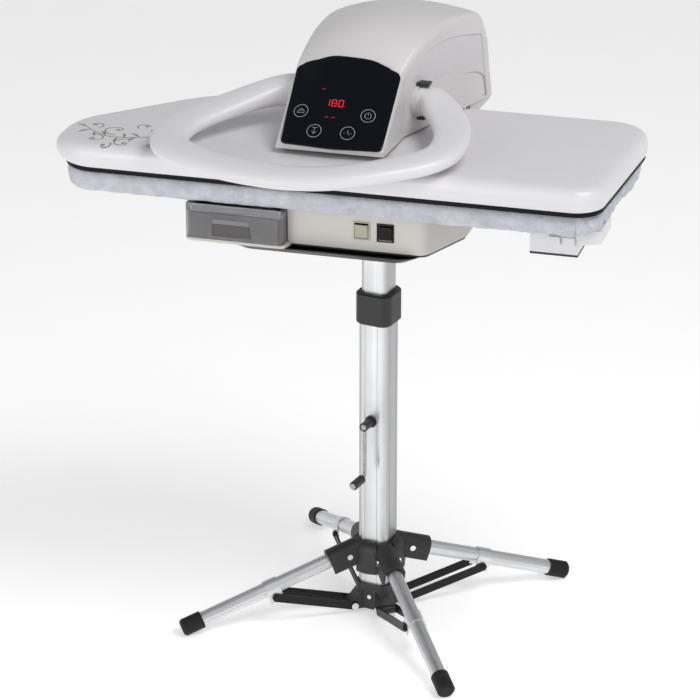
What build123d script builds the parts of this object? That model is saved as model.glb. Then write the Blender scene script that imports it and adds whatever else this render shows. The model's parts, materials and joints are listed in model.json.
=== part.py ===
"""Steam ironing press on a folding four-legged stand, in millimetres.

+X runs along the board to its square end, +Y to the hinge at the back and +Z up.
The origin lies on the floor, under the middle of the whole press. The press is shut,
the stand is open, and the column is wound to its middle height.
"""

import os
from math import atan2, cos, pi, radians, sin, tan

from build123d import *

os.makedirs("parts", exist_ok=True)

# Fits, shared by the whole press
REST_GAP = 0.3          # between pieces that rest on each other and part again
SLIDE_GAP = 0.4         # on each side of a flat sliding fit
PIN_FIT = 0.05          # radial clearance of a turning pin
SIDE_PLAY = 0.7         # beside a link that swings past its neighbour
OVERRUN = 6.0           # how far a cut runs past the face that it opens
PIN_HEAD = 2.0          # thickness of a rivet or shaft head
HEAD_RIM = 2.5          # how far such a head stands out round its pin

# Plan outline that the shoe, the pad and the board bed share
BOARD_NOSE_X = -495.0
BOARD_END_X = 498.0
BOARD_FRONT_Y = -187.0
BOARD_BACK_Y = 205.0
END_FRONT_X = 473.0     # the square end leans: its front corner is drawn in
NOSE_FLANK_Y = -42.0    # where the back of the nose starts its sweep
SWEEP_X = -292.0        # where the sweep meets the long back edge
SWEEP_Y = 172.0
BACK_START_X = 20.0
NOSE_R = 72.0
FLANK_R = 120.0
SWEEP_R = 230.0
BACK_R = 500.0
END_BACK_R = 72.0
END_FRONT_R = 52.0

# Board bed, pad and upper shoe
BED_Z = 822.0
BED_TOP_Z = 834.0
BED_PLATE = 2.3
BED_SKIRT = 2.0
BED_INSET = 27.0
PAD_Z = 820.0
PAD_TOP_Z = 858.7
PAD_INSET = 9.0
PAD_GATHERS = 56        # puckers that the hem's drawstring makes round the cover
PAD_GATHER = 2.6        # how deep a pucker is at the hem
PAD_SMOOTH = 0.3        # what is left of a pucker in the taut cloth above
PAD_HEM_IN = 9.0        # the hem is drawn in this far under the belly of the pad
PAD_BELLY_H = 11.0
PAD_SHOULDER_H = 27.0
PAD_ROLL_IN = 5.0
PAD_ROLL_H = 34.0
PAD_CROWN_IN = 30.0     # the top is flat inside this much of the pad's edge
PAD_CROWN = 1.2
SOLE_PLATE = 4.0
SOLE_RIM_H = 8.0
SOLE_RIM = 3.0
SOLE_INSET = 3.0
SHOE_H = 40.0
SHOE_WALL = 3.0
SHOE_EDGE_R = 10.0
ELEMENT_D = 8.0
ELEMENT_SIDES = 8
ELEMENT_END_X = 380.0
ELEMENT_NOSE_X = -340.0
ELEMENT_HALF_PITCH = 75.0
ELEMENT_Y = -40.0
ELEMENT_GAP = 0.1
INSULATION_T = 6.0
INSULATION_INSET = 14.0

# Arm, its hinge and the moulded head
HINGE_Y = 245.0
HINGE_Z = 872.0
AXLE_D = 12.0
EAR_T = 4.0
EAR_LEFT_X = -60.0
EAR_RIGHT_X = 76.0
EAR_BOSS_R = 16.0
UPRIGHT_GAP = 2.0
ARM_PLATE = 3.0
ARM_FRONT_Y = -60.0
ARM_RAIL_H = 22.0
ARM_BACK_Y = 204.0
ARM_RISE_Y = 215.0
ARM_BEAM_DROP = 14.0    # from the handle's pivot down to the beam of the ears
SHAFT_EAR_HALF = 20.0
BRACKET_T = 4.0
BRACKET_FRONT_Y = 40.0
HEAD_WALL = 5.0
HEAD_FRONT_Y = -135.0
HEAD_BROW_Y = -3.0
HEAD_LIFT = 3.0         # between the shoe's top and the head's lower edge
HEAD_BACK_Y = 276.0
HEAD_LEFT_X = -112.0
HEAD_RIGHT_X = 189.0
HEAD_H = 191.0
HEAD_LEFT_R = 55.0
HEAD_RIGHT_R = 14.0
HEAD_INNER_R = 1.0      # the hollow's edges are never sharper than this
HEAD_NOSE_LEFT_X = -96.0
HEAD_NOSE_RIGHT_X = 94.0
HEAD_NOSE_H = 15.0
HEAD_NOSE_CROWN = 3.0
HEAD_NOSE_R = 6.0
HEAD_BACK_TOP_Y = 214.0
HEAD_BACK_FOOT_Y = 268.0
HEAD_BACK_FOOT_Z = 905.0
PANEL_PROUD = 0.8
PANEL_T = 2.6
PANEL_FIT = 0.3
PANEL_CORNER_R = 9.0
PANEL_SIDE = 5.0        # cream rim left beside the glass
PANEL_PRISM = 140.0     # length of the prism that a slice of the front is cut with
PANEL_FOOT = 7.0        # cream rim left below the glass
PANEL_BROW = 7.0        # cream rim left above the glass
SIDE_COVER_T = 2.4
SIDE_COVER_SINK = 1.2
SIDE_NOSE_Y = 20.0      # side cover: its nose, brow, back and arched lower edge
SIDE_NOSE_Z = 1002.0
SIDE_BROW_Y = 64.0
SIDE_BROW_Z = 1045.0
SIDE_CREST_Y = 136.0
SIDE_CREST_Z = 1051.0
SIDE_BACK_Y = 209.0
SIDE_BACK_Z = 1039.0
SIDE_HEEL_Y = 250.0
SIDE_HEEL_Z = 914.0
SEAM_FOOT_Y = 239.0
SEAM_SHOULDER_Y = 182.0
SEAM_SHOULDER_Z = 973.0
SEAM_BEND = 12.0
SEAM_CREST_Z = 982.0
BOARD_PCB_T = 1.6
BOARD_PCB_L = 70.0
BOARD_PCB_BELOW = 24.0   # how much of the circuit board hangs below the ears' corners

# Four sections of the head from the brow backwards, as shares of its depth, sides, height and rounds
HEAD_DEPTH_SHARES = (0.0, 0.226, 0.548, 1.0)
HEAD_LEFT_SHARES = (0.866, 0.902, 0.946, 1.0)
HEAD_RIGHT_SHARES = (0.503, 0.619, 0.778, 1.0)
HEAD_LEFT_RISE_SHARES = (0.607, 0.712, 0.764, 0.607)
HEAD_CROWN_RISE_SHARES = (0.712, 0.932, 1.0, 0.827)
HEAD_RIGHT_RISE_SHARES = (0.618, 0.806, 0.9, 0.733)
HEAD_LEFT_ROUND_SHARES = (0.25, 0.73, 1.0, 1.0)
HEAD_RIGHT_ROUND_SHARES = (0.86, 1.0, 1.0, 0.86)

# Carrying handle, a flat oval loop in a plane that rises to the back
HANDLE_W = 60.0
HANDLE_H = 36.0
HANDLE_TILT = 8.5
HANDLE_LEVEL_Y = -190.0
HANDLE_LEVEL_Z = 930.5
HANDLE_PIVOT_Y = 40.0
HANDLE_PIVOT_Z = 964.0
HANDLE_SHAFT_D = 14.0
HANDLE_BOSS_R = 27.0
HANDLE_BOSS_LEFT_X = -138.0
HANDLE_BOSS_RIGHT_X = 150.0
HANDLE_SIDE_GAP = 2.0
HANDLE_LEG_Y = 38.0
HANDLE_LEG_LEFT_X = -122.0
HANDLE_LEG_RIGHT_X = 134.0
HANDLE_LEFT_X = -317.0
HANDLE_LEFT_Y = -194.0
HANDLE_FRONT_X = -17.0
HANDLE_FRONT_Y = -303.0
HANDLE_RIGHT_X = 216.0
HANDLE_RIGHT_Y = -148.0
HANDLE_SHOULDER_X = 184.0
HANDLE_SHOULDER_Y = 22.0
HANDLE_RADII = (65.0, 190.0, 62.0, 42.0)

# Base housing under the board, its water tank and switches
HOUSING_Z = 752.0
HOUSING_TOP_Z = 818.0
HOUSING_WALL = 3.0
HOUSING_LEFT_X = -250.0
HOUSING_CORNER_X = 171.0
HOUSING_RIGHT_X = 215.0
HOUSING_FRONT_Y = -150.0
HOUSING_FLARE_Y = -40.0
HOUSING_BACK_Y = 150.0
HOUSING_R = 22.0
BASE_PLATE = 4.0
BASE_PLATE_INSET = 2.0
RAIL_X = 158.0
RAIL_W = 26.0
RAIL_T = 2.5
RAIL_HALF_L = 120.0
TANK_W = 174.0
TANK_FRONT_Y = -178.0
TANK_BACK_Y = -22.0
TANK_H = 48.0
TANK_WALL = 2.5
TANK_R = 7.0
TANK_GAP = 1.0
TANK_RIM_H = 10.0
TANK_RIM_W = 8.0
PULL_TOP_W = 62.0
PULL_FOOT_W = 40.0
PULL_H = 30.0
PULL_DEPTH = 13.0
PULL_X = -13.0          # the finger pull sits a little left of the tank's middle
SWITCH_W = 30.0
SWITCH_H = 33.0
SWITCH_Z = 787.0
POWER_SWITCH_X = 60.0
STEAM_SWITCH_X = 102.0
BEZEL_RIM = 3.0
BEZEL_PROUD = 1.6
BEZEL_DEPTH = 14.0
ROCKER_PROUD = 1.0
ROCKER_DEPTH = 9.0
ROCKER_TILT = 8.0
ROCKER_GAP = 3.0
ROCKER_PIN_R = 2.0
PUMP_R = 21.0
PUMP_L = 78.0
PUMP_X = 30.0
PUMP_Y = 70.0
PUMP_CRADLE_W = 34.0
POWER_BOARD_X = 120.0
POWER_BOARD_Y = 60.0
POWER_BOARD_L = 110.0
POWER_BOARD_W = 90.0
PILLAR_H = 8.0
PILLAR_R = 4.0
CHOKE_SIZE = 26.0
GLAND_X = -40.0
GLAND_Z = 776.0
GLAND_R = 9.0
GLAND_BORE_R = 4.0
GLAND_LONG = 22.0
GLAND_FLANGE = 3.0
COVER_LEFT_X = -106.0
COVER_RIGHT_X = 172.0
COVER_BACK_Y = 279.0
COVER_Z = 790.0
COVER_SLOPE_Y = 238.0
COVER_SHELF_Y = 214.0
COVER_WALL = 3.0
END_BOX_X = 348.0
END_BOX_FOOT_X = 430.0
END_BOX_END_X = 470.0
END_BOX_Y = -132.0
END_BOX_DEEP = 78.0
END_BOX_Z = 774.0
END_BOX_STEP_Z = 792.0
END_BOX_TOP_X = 356.0
END_BOX_TOP_END_X = 430.0
END_BOX_TOP_IN = 6.0
END_FOOT_T = 4.0
END_TAB_W = 20.0
END_TAB_H = 14.0
END_TAB_T = 5.0
END_TAB_PITCH = 25.0
END_TAB_X = 390.0
END_TAB_Z = 798.0

# Tray on top of the column
TRAY_X = -188.0
TRAY_END_X = 164.0
TRAY_FRONT_Y = -171.0
TRAY_BACK_Y = 118.0
TRAY_H = 15.0
TRAY_R = 40.0
TRAY_DRAFT = 24.0
TRAY_WALL = 3.0
TRAY_RIM = 5.0
SOCKET_Z = 700.0
SOCKET_W = 78.0
SOCKET_R = 18.0

# Column, lift and crank
COLUMN_X = 50.0
STAND_TURN = -10.9
COLUMN_W = 58.0
COLUMN_R = 14.0
COLUMN_WALL = 2.5
COLUMN_Z = 12.0
COLUMN_TOP_Z = 592.0
GROOVE_W = 2.2
GROOVE_DEEP = 1.0
GROOVE_AT = 12.0        # from the middle of a face to its outer groove
INNER_W = 50.0
INNER_R = 11.0
INNER_WALL = 2.0
INNER_Z = 200.0
SLIDE_RING_H = 30.0
COLLAR_Z = 564.0
COLLAR_TOP_Z = 623.0
COLLAR_W = 69.0
COLLAR_R = 19.0
COLLAR_EDGE = 3.0
FOOT_COLLAR_Z = 7.0
FOOT_COLLAR_TOP_Z = 57.0
FOOT_COLLAR_W = 67.0
FOOT_COLLAR_R = 17.0
CRANK_Z = 380.0
GEAR_MODULE = 1.5
PINION_TEETH = 16
RACK_TEETH = 50
RACK_TEETH_ABOVE = 13
TOOTH_BACKLASH = 0.35
TOOTH_FLANK = 20.0
ADDENDUM = 1.35
DEDENDUM = 1.95
GEAR_W = 10.0
SHAFT_D = 10.0
BUSH_R = 8.0
BUSH_FLANGE_R = 11.0
BUSH_FLANGE = 3.0
CRANK_OUT = 26.0        # from the column's face to the crank rod
CRANK_ROD_D = 7.0
CRANK_BOSS_R = 8.0
CRANK_BOSS_L = 16.0
CRANK_REACH = 98.0
CRANK_BEND_R = 9.0
GRIP_R = 8.0
GRIP_L = 36.0
GRIP_EDGE = 2.0
GRIP_GAP = 1.0
GRIP_PIN_OUT = 1.5

# Folding legs and their struts
LEG_SLOPE = 18.4
LEG_REACH = 372.0       # from the column's axis to the middle of a foot cap's end
LEG_D = 27.0
LEG_WALL = 1.8
LEG_FLUTES = 6
FLUTE_W = 2.0
FLUTE_DEEP = 0.7
LEG_HEEL = 8.0          # tube beyond the pivot, inside the hub
LEG_END_IN = 5.0        # the tube stops this far short of the cap's end
CAP_D = 32.0
CAP_L = 40.0
CAP_EDGE = 4.0
FOOT_FLAT = 1.2
HUB_PIVOT_R = 60.0
HUB_PIN_D = 8.0
HUB_SLEEVE = 3.5
HUB_DROP = 30.5         # from the pivots down to the cup's rim
HUB_BORE_R = 16.5       # inside of a hood, clear of the leg's heel as it swings
HUB_CHEEK = 4.0
HUB_ARM_R = 94.0
HUB_RISE = 26.0         # from the pivots up to the sleeve's rim
HUB_CUP_R = 50.0
HUB_CUP_H = 32.0
STRUT_OUTER_R = 203.0
STRUT_DROP = 15.0       # strut pin below the leg's axis
STRUT_INNER_R = 50.0
STRUT_INNER_Z = 15.0
STRUT_W = 15.0
STRUT_T = 3.0
SADDLE_L = 26.0
SADDLE_WALL = 2.2
SADDLE_FOOT = 9.0
EAR_REACH = 9.0         # foot collar's ear beyond the strut pin

# Worked out from the sizes above
SOLE_Z = PAD_TOP_Z + REST_GAP
SHOE_Z = SOLE_Z + SOLE_RIM_H
SHOE_TOP_Z = SHOE_Z + SHOE_H
HEAD_Z = SHOE_TOP_Z + HEAD_LIFT
RAIL_MIDDLE_Z = (HOUSING_TOP_Z + BED_TOP_Z - BED_PLATE) / 2
TRAY_TOP_Z = HOUSING_Z - BASE_PLATE
TRAY_Z = TRAY_TOP_Z - TRAY_H
PITCH_R = GEAR_MODULE * PINION_TEETH / 2
TOOTH_PITCH = GEAR_MODULE * pi
LEG_ANGLES = tuple(STAND_TURN + 45 + 90 * quarter for quarter in range(4))
SLOPE = radians(LEG_SLOPE)
CAP_LOW_AT_RIM = (CAP_D / 2) * cos(SLOPE) - CAP_EDGE * sin(SLOPE)
CAP_LOW_AT_END = (CAP_D / 2 - CAP_EDGE) * cos(SLOPE)
CAP_CENTRE_Z = max(CAP_LOW_AT_RIM, CAP_LOW_AT_END) - FOOT_FLAT
HUB_PIVOT_Z = CAP_CENTRE_Z + (LEG_REACH - HUB_PIVOT_R) * tan(SLOPE)
LEG_LENGTH = (LEG_REACH - HUB_PIVOT_R) / cos(SLOPE)
STRUT_PIN_R = STRUT_OUTER_R - STRUT_DROP * sin(SLOPE)
STRUT_PIN_Z = HUB_PIVOT_Z - (STRUT_OUTER_R - HUB_PIVOT_R) * tan(SLOPE) - STRUT_DROP * cos(SLOPE)
SADDLE_HALF = LEG_D / 2 + SADDLE_WALL
STRUT_SIDE = SADDLE_HALF + SIDE_PLAY


HEAD_SECTIONS = tuple(
    (
        HEAD_BROW_Y + depth * (HEAD_BACK_Y - HEAD_BROW_Y),
        left * HEAD_LEFT_X,
        right * HEAD_RIGHT_X,
        HEAD_Z + left_rise * HEAD_H,
        HEAD_Z + crown_rise * HEAD_H,
        HEAD_Z + right_rise * HEAD_H,
        left_round * HEAD_LEFT_R,
        right_round * HEAD_RIGHT_R,
    )
    for depth, left, right, left_rise, crown_rise, right_rise, left_round, right_round in zip(
        HEAD_DEPTH_SHARES,
        HEAD_LEFT_SHARES,
        HEAD_RIGHT_SHARES,
        HEAD_LEFT_RISE_SHARES,
        HEAD_CROWN_RISE_SHARES,
        HEAD_RIGHT_RISE_SHARES,
        HEAD_LEFT_ROUND_SHARES,
        HEAD_RIGHT_ROUND_SHARES,
    )
)
HEAD_NOSE_SECTION = (
    HEAD_FRONT_Y,
    HEAD_NOSE_LEFT_X,
    HEAD_NOSE_RIGHT_X,
    HEAD_Z + HEAD_NOSE_H,
    HEAD_Z + HEAD_NOSE_H + HEAD_NOSE_CROWN,
    HEAD_Z + HEAD_NOSE_H,
    HEAD_NOSE_R,
    HEAD_NOSE_R,
)


def board_outline(height, inset):
    """Plan outline shared by shoe, pad and bed, drawn in by an inset."""
    corners = (
        (BOARD_NOSE_X, BOARD_FRONT_Y),
        (END_FRONT_X, BOARD_FRONT_Y),
        (BOARD_END_X, BOARD_BACK_Y),
        (BACK_START_X, BOARD_BACK_Y),
        (SWEEP_X, SWEEP_Y),
        (BOARD_NOSE_X, NOSE_FLANK_Y),
    )
    radii = (NOSE_R, END_FRONT_R, END_BACK_R, BACK_R, SWEEP_R, FLANK_R)
    with BuildSketch(Plane.XY.offset(height)) as outline:
        with BuildLine():
            FilletPolyline(*corners, radius=radii, close=True)
        make_face()
        if inset:
            offset(amount=-inset)
    return outline.sketch


def cross_plane(y):
    """Plane square to Y: its x is the press's x and its y is height."""
    return Plane(origin=(0, y, 0), x_dir=(1, 0, 0), z_dir=(0, -1, 0))


def side_plane(x):
    """Plane square to X: its x is the press's y and its y is height."""
    return Plane(origin=(x, 0, 0), x_dir=(0, 1, 0), z_dir=(1, 0, 0))


def stand_plane(height):
    """Level plane on the column's axis, turned with the stand."""
    turn = radians(STAND_TURN)
    return Plane(origin=(COLUMN_X, 0, height), x_dir=(cos(turn), sin(turn), 0), z_dir=(0, 0, 1))


def face_plane(distance, height):
    """Plane square to the column's front face, at a distance in front of its axis."""
    turn = radians(STAND_TURN)
    out = (sin(turn), -cos(turn))
    return Plane(
        origin=(COLUMN_X + out[0] * distance, out[1] * distance, height),
        x_dir=(cos(turn), sin(turn), 0),
        z_dir=(out[0], out[1], 0),
    )


def leg_plane(angle):
    """Upright plane through one leg: its x is the reach from the column's axis."""
    turn = radians(angle)
    return Plane(origin=(COLUMN_X, 0, 0), x_dir=(cos(turn), sin(turn), 0), z_dir=(sin(turn), -cos(turn), 0))


def leg_section(angle, along):
    """Plane square to one leg's axis, at a distance from its hub pivot."""
    turn = radians(angle)
    reach = HUB_PIVOT_R + along * cos(SLOPE)
    return Plane(
        origin=(COLUMN_X + reach * cos(turn), reach * sin(turn), HUB_PIVOT_Z - along * sin(SLOPE)),
        x_dir=(sin(turn), -cos(turn), 0),
        z_dir=(cos(SLOPE) * cos(turn), cos(SLOPE) * sin(turn), -sin(SLOPE)),
    )


def head_section(section, wall):
    """One section of the head, drawn in by the wall's thickness and open below."""
    y, left, right, left_z, crown_z, right_z, left_r, right_r = section
    left, right = left + wall, right - wall
    left_z, crown_z, right_z = left_z - wall, crown_z - wall, right_z - wall
    foot_z = HEAD_Z - OVERRUN if wall else HEAD_Z
    with BuildSketch(cross_plane(y)) as outline:
        with BuildLine():
            Polyline((left, left_z), (left, foot_z), (right, foot_z), (right, right_z))
            ThreePointArc((right, right_z), ((left + right) / 2, crown_z), (left, left_z))
        make_face()
        left_shoulder = outline.vertices().group_by(Axis.X)[0].sort_by(Axis.Y)[-1]
        fillet(left_shoulder, radius=max(left_r - wall, HEAD_INNER_R))
        right_shoulder = outline.vertices().group_by(Axis.X)[-1].sort_by(Axis.Y)[-1]
        fillet(right_shoulder, radius=max(right_r - wall, HEAD_INNER_R))
    return outline.sketch


def head_brow(wall):
    """Sloping front of the head, from its low nose up to the brow."""
    nose = (HEAD_NOSE_SECTION[0] + 2 * wall,) + HEAD_NOSE_SECTION[1:]
    with BuildPart() as front:
        loft([head_section(nose, wall), head_section(HEAD_SECTIONS[0], wall)], ruled=True)
    return front.part


def head_body(wall):
    """Whole outer form of the head, or its hollow when a wall is given."""
    rear_lean = atan2(HEAD_BACK_FOOT_Y - HEAD_BACK_TOP_Y, HEAD_SECTIONS[-1][4] - HEAD_BACK_FOOT_Z)
    rear = Plane(
        origin=(0, HEAD_BACK_FOOT_Y - wall, HEAD_BACK_FOOT_Z),
        x_dir=(1, 0, 0),
        z_dir=(0, cos(rear_lean), sin(rear_lean)),
    )
    with BuildPart() as body:
        loft([head_section(section, wall) for section in HEAD_SECTIONS])
        split(bisect_by=rear, keep=Keep.BOTTOM)
        add(head_brow(wall))
    return body.part


# Board bed: a pressed steel tray, upside down
with BuildPart() as board_bed:
    extrude(board_outline(BED_Z, BED_INSET), amount=BED_TOP_Z - BED_Z)
    bed_hollow = board_outline(BED_Z, BED_INSET + BED_SKIRT)
    extrude(bed_hollow, amount=BED_TOP_Z - BED_PLATE - BED_Z, mode=Mode.SUBTRACT)
board_bed.part.label = "board_bed"
export_step(board_bed.part, "parts/board_bed.step")


def pad_ring(height, inset, pucker):
    """Ring of shallow arcs along the board's outline, one to each gather of the cover."""
    edge = board_outline(height, 0).wire()

    def beside(share, depth):
        along = edge % share
        return edge @ share - Vector(along.Y, -along.X) * depth

    with BuildSketch(Plane.XY.offset(height)) as ring:
        with BuildLine():
            for gather in range(PAD_GATHERS):
                ThreePointArc(
                    *[
                        beside((gather + step / 2) / PAD_GATHERS, inset - pucker * (step % 2))
                        for step in range(3)
                    ]
                )
        make_face()
    return ring.sketch


# Pad: a crowned cushion whose gathered hem is drawn in under the bed
with BuildPart() as pad:
    loft(
        [
            pad_ring(PAD_Z, PAD_INSET + PAD_HEM_IN, PAD_GATHER),
            pad_ring(PAD_Z + PAD_BELLY_H, PAD_INSET + PAD_GATHER / 2, PAD_GATHER / 2),
            pad_ring(PAD_Z + PAD_SHOULDER_H, PAD_INSET + PAD_SMOOTH, PAD_SMOOTH),
            pad_ring(PAD_Z + PAD_ROLL_H, PAD_INSET + PAD_ROLL_IN, PAD_SMOOTH),
            pad_ring(PAD_TOP_Z - PAD_CROWN, PAD_INSET + 2 * PAD_ROLL_IN, PAD_SMOOTH),
            pad_ring(PAD_TOP_Z, PAD_INSET + PAD_CROWN_IN, PAD_SMOOTH),
        ],
        ruled=True,
    )
    extrude(board_outline(PAD_Z, BED_INSET - REST_GAP), amount=BED_TOP_Z - PAD_Z, mode=Mode.SUBTRACT)
pad.part.label = "pad"
export_step(pad.part, "parts/pad.step")

# Two hat rails carry the bed on the housing
with BuildPart() as bed_rails:
    with BuildSketch(cross_plane(RAIL_HALF_L)) as rail_ends:
        with Locations((-RAIL_X, RAIL_MIDDLE_Z), (RAIL_X, RAIL_MIDDLE_Z)):
            Rectangle(RAIL_W, BED_TOP_Z - BED_PLATE - HOUSING_TOP_Z)
        with Locations((-RAIL_X, HOUSING_TOP_Z), (RAIL_X, HOUSING_TOP_Z)):
            Rectangle(
                RAIL_W - 2 * RAIL_T,
                BED_TOP_Z - BED_PLATE - RAIL_T - HOUSING_TOP_Z,
                align=(Align.CENTER, Align.MIN),
                mode=Mode.SUBTRACT,
            )
    extrude(amount=2 * RAIL_HALF_L)
bed_rails.part.label = "bed_rails"
export_step(bed_rails.part, "parts/bed_rails.step")

# Upper shoe: sole plate with a dark rim, heating element, insulation and moulded cover
with BuildPart() as sole_plate:
    extrude(board_outline(SOLE_Z, SOLE_INSET), amount=SOLE_RIM_H)
    extrude(
        board_outline(SOLE_Z + SOLE_PLATE, SOLE_INSET + SOLE_RIM),
        amount=SOLE_RIM_H - SOLE_PLATE,
        mode=Mode.SUBTRACT,
    )
sole_plate.part.label = "sole_plate"
export_step(sole_plate.part, "parts/sole_plate.step")

ELEMENT_Z = SOLE_Z + SOLE_PLATE + ELEMENT_D / 2 + ELEMENT_GAP
with BuildPart() as heating_element:
    with BuildLine() as element_path:
        Line(
            (ELEMENT_END_X, ELEMENT_Y - ELEMENT_HALF_PITCH, ELEMENT_Z),
            (ELEMENT_NOSE_X, ELEMENT_Y - ELEMENT_HALF_PITCH, ELEMENT_Z),
        )
        ThreePointArc(
            (ELEMENT_NOSE_X, ELEMENT_Y - ELEMENT_HALF_PITCH, ELEMENT_Z),
            (ELEMENT_NOSE_X - ELEMENT_HALF_PITCH, ELEMENT_Y, ELEMENT_Z),
            (ELEMENT_NOSE_X, ELEMENT_Y + ELEMENT_HALF_PITCH, ELEMENT_Z),
        )
        Line(
            (ELEMENT_NOSE_X, ELEMENT_Y + ELEMENT_HALF_PITCH, ELEMENT_Z),
            (ELEMENT_END_X, ELEMENT_Y + ELEMENT_HALF_PITCH, ELEMENT_Z),
        )
    with BuildSketch(Plane(origin=element_path.line @ 0, z_dir=element_path.line % 0)):
        RegularPolygon(ELEMENT_D / 2, ELEMENT_SIDES)
    sweep()
heating_element.part.label = "heating_element"
export_step(heating_element.part, "parts/heating_element.step")

with BuildPart() as insulation:
    extrude(board_outline(ELEMENT_Z + ELEMENT_D / 2 + ELEMENT_GAP, INSULATION_INSET), amount=INSULATION_T)
insulation.part.label = "insulation"
export_step(insulation.part, "parts/insulation.step")

with BuildPart() as shoe_cover:
    extrude(board_outline(SHOE_Z, 0), amount=SHOE_H)
    fillet(shoe_cover.edges().group_by(Axis.Z)[-1], radius=SHOE_EDGE_R)
    extrude(board_outline(SHOE_Z, SHOE_WALL), amount=SHOE_H - SHOE_WALL - SHOE_EDGE_R / 2, mode=Mode.SUBTRACT)
    extrude(
        board_outline(SHOE_Z, SHOE_WALL + SHOE_EDGE_R / 2),
        amount=SHOE_H - SHOE_WALL,
        mode=Mode.SUBTRACT,
    )
shoe_cover.part.label = "shoe_cover"
export_step(shoe_cover.part, "parts/shoe_cover.step")

# Arm frame: a steel plate on the shoe with two ears that reach back to the hinge
EAR_XS = (EAR_LEFT_X, EAR_RIGHT_X)
ARM_BEAM_Z = HANDLE_PIVOT_Z - ARM_BEAM_DROP
with BuildPart() as arm_frame:
    with BuildSketch(Plane.XY.offset(SHOE_TOP_Z)):
        with Locations(((EAR_LEFT_X + EAR_RIGHT_X + EAR_T) / 2, (ARM_FRONT_Y + ARM_BACK_Y) / 2)):
            Rectangle(EAR_RIGHT_X + EAR_T - EAR_LEFT_X, ARM_BACK_Y - ARM_FRONT_Y)
    extrude(amount=ARM_PLATE)
    for ear_x in EAR_XS:
        with BuildSketch(side_plane(ear_x)):
            with BuildLine():
                Polyline(
                    (ARM_FRONT_Y, SHOE_TOP_Z),
                    (ARM_FRONT_Y, SHOE_TOP_Z + ARM_RAIL_H),
                    (HANDLE_PIVOT_Y - 2 * SHAFT_EAR_HALF, SHOE_TOP_Z + ARM_RAIL_H),
                    (HANDLE_PIVOT_Y - SHAFT_EAR_HALF, HANDLE_PIVOT_Z + SHAFT_EAR_HALF),
                    (HANDLE_PIVOT_Y + SHAFT_EAR_HALF, HANDLE_PIVOT_Z + SHAFT_EAR_HALF),
                    (HANDLE_PIVOT_Y + 2 * SHAFT_EAR_HALF, ARM_BEAM_Z),
                    (ARM_RISE_Y, ARM_BEAM_Z),
                    (HINGE_Y + EAR_BOSS_R, HINGE_Z),
                    (HINGE_Y - EAR_BOSS_R, HINGE_Z),
                    (ARM_RISE_Y, SHOE_TOP_Z),
                    close=True,
                )
            make_face()
            with Locations((HINGE_Y, HINGE_Z)):
                Circle(EAR_BOSS_R)
                Circle(AXLE_D / 2 + PIN_FIT, mode=Mode.SUBTRACT)
            with Locations((HANDLE_PIVOT_Y, HANDLE_PIVOT_Z)):
                Circle(HANDLE_SHAFT_D / 2, mode=Mode.SUBTRACT)
        extrude(amount=EAR_T)
arm_frame.part.label = "arm_frame"
export_step(arm_frame.part, "parts/arm_frame.step")

# Hinge bracket: a plate on the housing with two uprights just inside the ears
UPRIGHT_LEFT_X = EAR_LEFT_X + EAR_T + UPRIGHT_GAP
UPRIGHT_RIGHT_X = EAR_RIGHT_X - UPRIGHT_GAP - BRACKET_T
BRACKET_W = UPRIGHT_RIGHT_X + BRACKET_T - UPRIGHT_LEFT_X
BRACKET_DEEP = HINGE_Y + 2 * EAR_BOSS_R - BRACKET_FRONT_Y
with BuildPart() as hinge_bracket:
    with BuildSketch(Plane.XY.offset(HOUSING_TOP_Z)):
        with Locations((UPRIGHT_LEFT_X + BRACKET_W / 2, (BRACKET_FRONT_Y + HINGE_Y) / 2)):
            Rectangle(BRACKET_W, BRACKET_DEEP)
    extrude(amount=PAD_Z - HOUSING_TOP_Z - REST_GAP)
    for upright_x in (UPRIGHT_LEFT_X, UPRIGHT_RIGHT_X):
        with BuildSketch(side_plane(upright_x)):
            with Locations((HINGE_Y, (HOUSING_TOP_Z + HINGE_Z) / 2)):
                Rectangle(2 * EAR_BOSS_R, HINGE_Z - HOUSING_TOP_Z)
            with Locations((HINGE_Y, HINGE_Z)):
                Circle(EAR_BOSS_R)
                Circle(AXLE_D / 2, mode=Mode.SUBTRACT)
        extrude(amount=BRACKET_T)
hinge_bracket.part.label = "hinge_bracket"
export_step(hinge_bracket.part, "parts/hinge_bracket.step")

with BuildPart() as hinge_axle:
    with BuildSketch(side_plane(EAR_LEFT_X - REST_GAP)):
        with Locations((HINGE_Y, HINGE_Z)):
            Circle(AXLE_D / 2)
    extrude(amount=EAR_RIGHT_X + EAR_T - EAR_LEFT_X + 2 * REST_GAP)
    axle_end_x = EAR_RIGHT_X + EAR_T + REST_GAP
    with BuildSketch(side_plane(EAR_LEFT_X - REST_GAP), side_plane(axle_end_x + PIN_HEAD)):
        with Locations((HINGE_Y, HINGE_Z)):
            Circle(AXLE_D / 2 + HEAD_RIM)
    extrude(amount=-PIN_HEAD)
hinge_axle.part.label = "hinge_axle"
export_step(hinge_axle.part, "parts/hinge_axle.step")

# Sprung cartridges round the axle take the arm's weight off the hand
with BuildPart() as spring_cartridge:
    with BuildSketch(side_plane(UPRIGHT_LEFT_X + BRACKET_T)):
        with Locations((HINGE_Y, HINGE_Z)):
            Circle(EAR_BOSS_R - HEAD_RIM)
            Circle(AXLE_D / 2, mode=Mode.SUBTRACT)
    extrude(amount=UPRIGHT_RIGHT_X - UPRIGHT_LEFT_X - BRACKET_T)
spring_cartridge.part.label = "spring_cartridge"
export_step(spring_cartridge.part, "parts/spring_cartridge.step")

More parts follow.
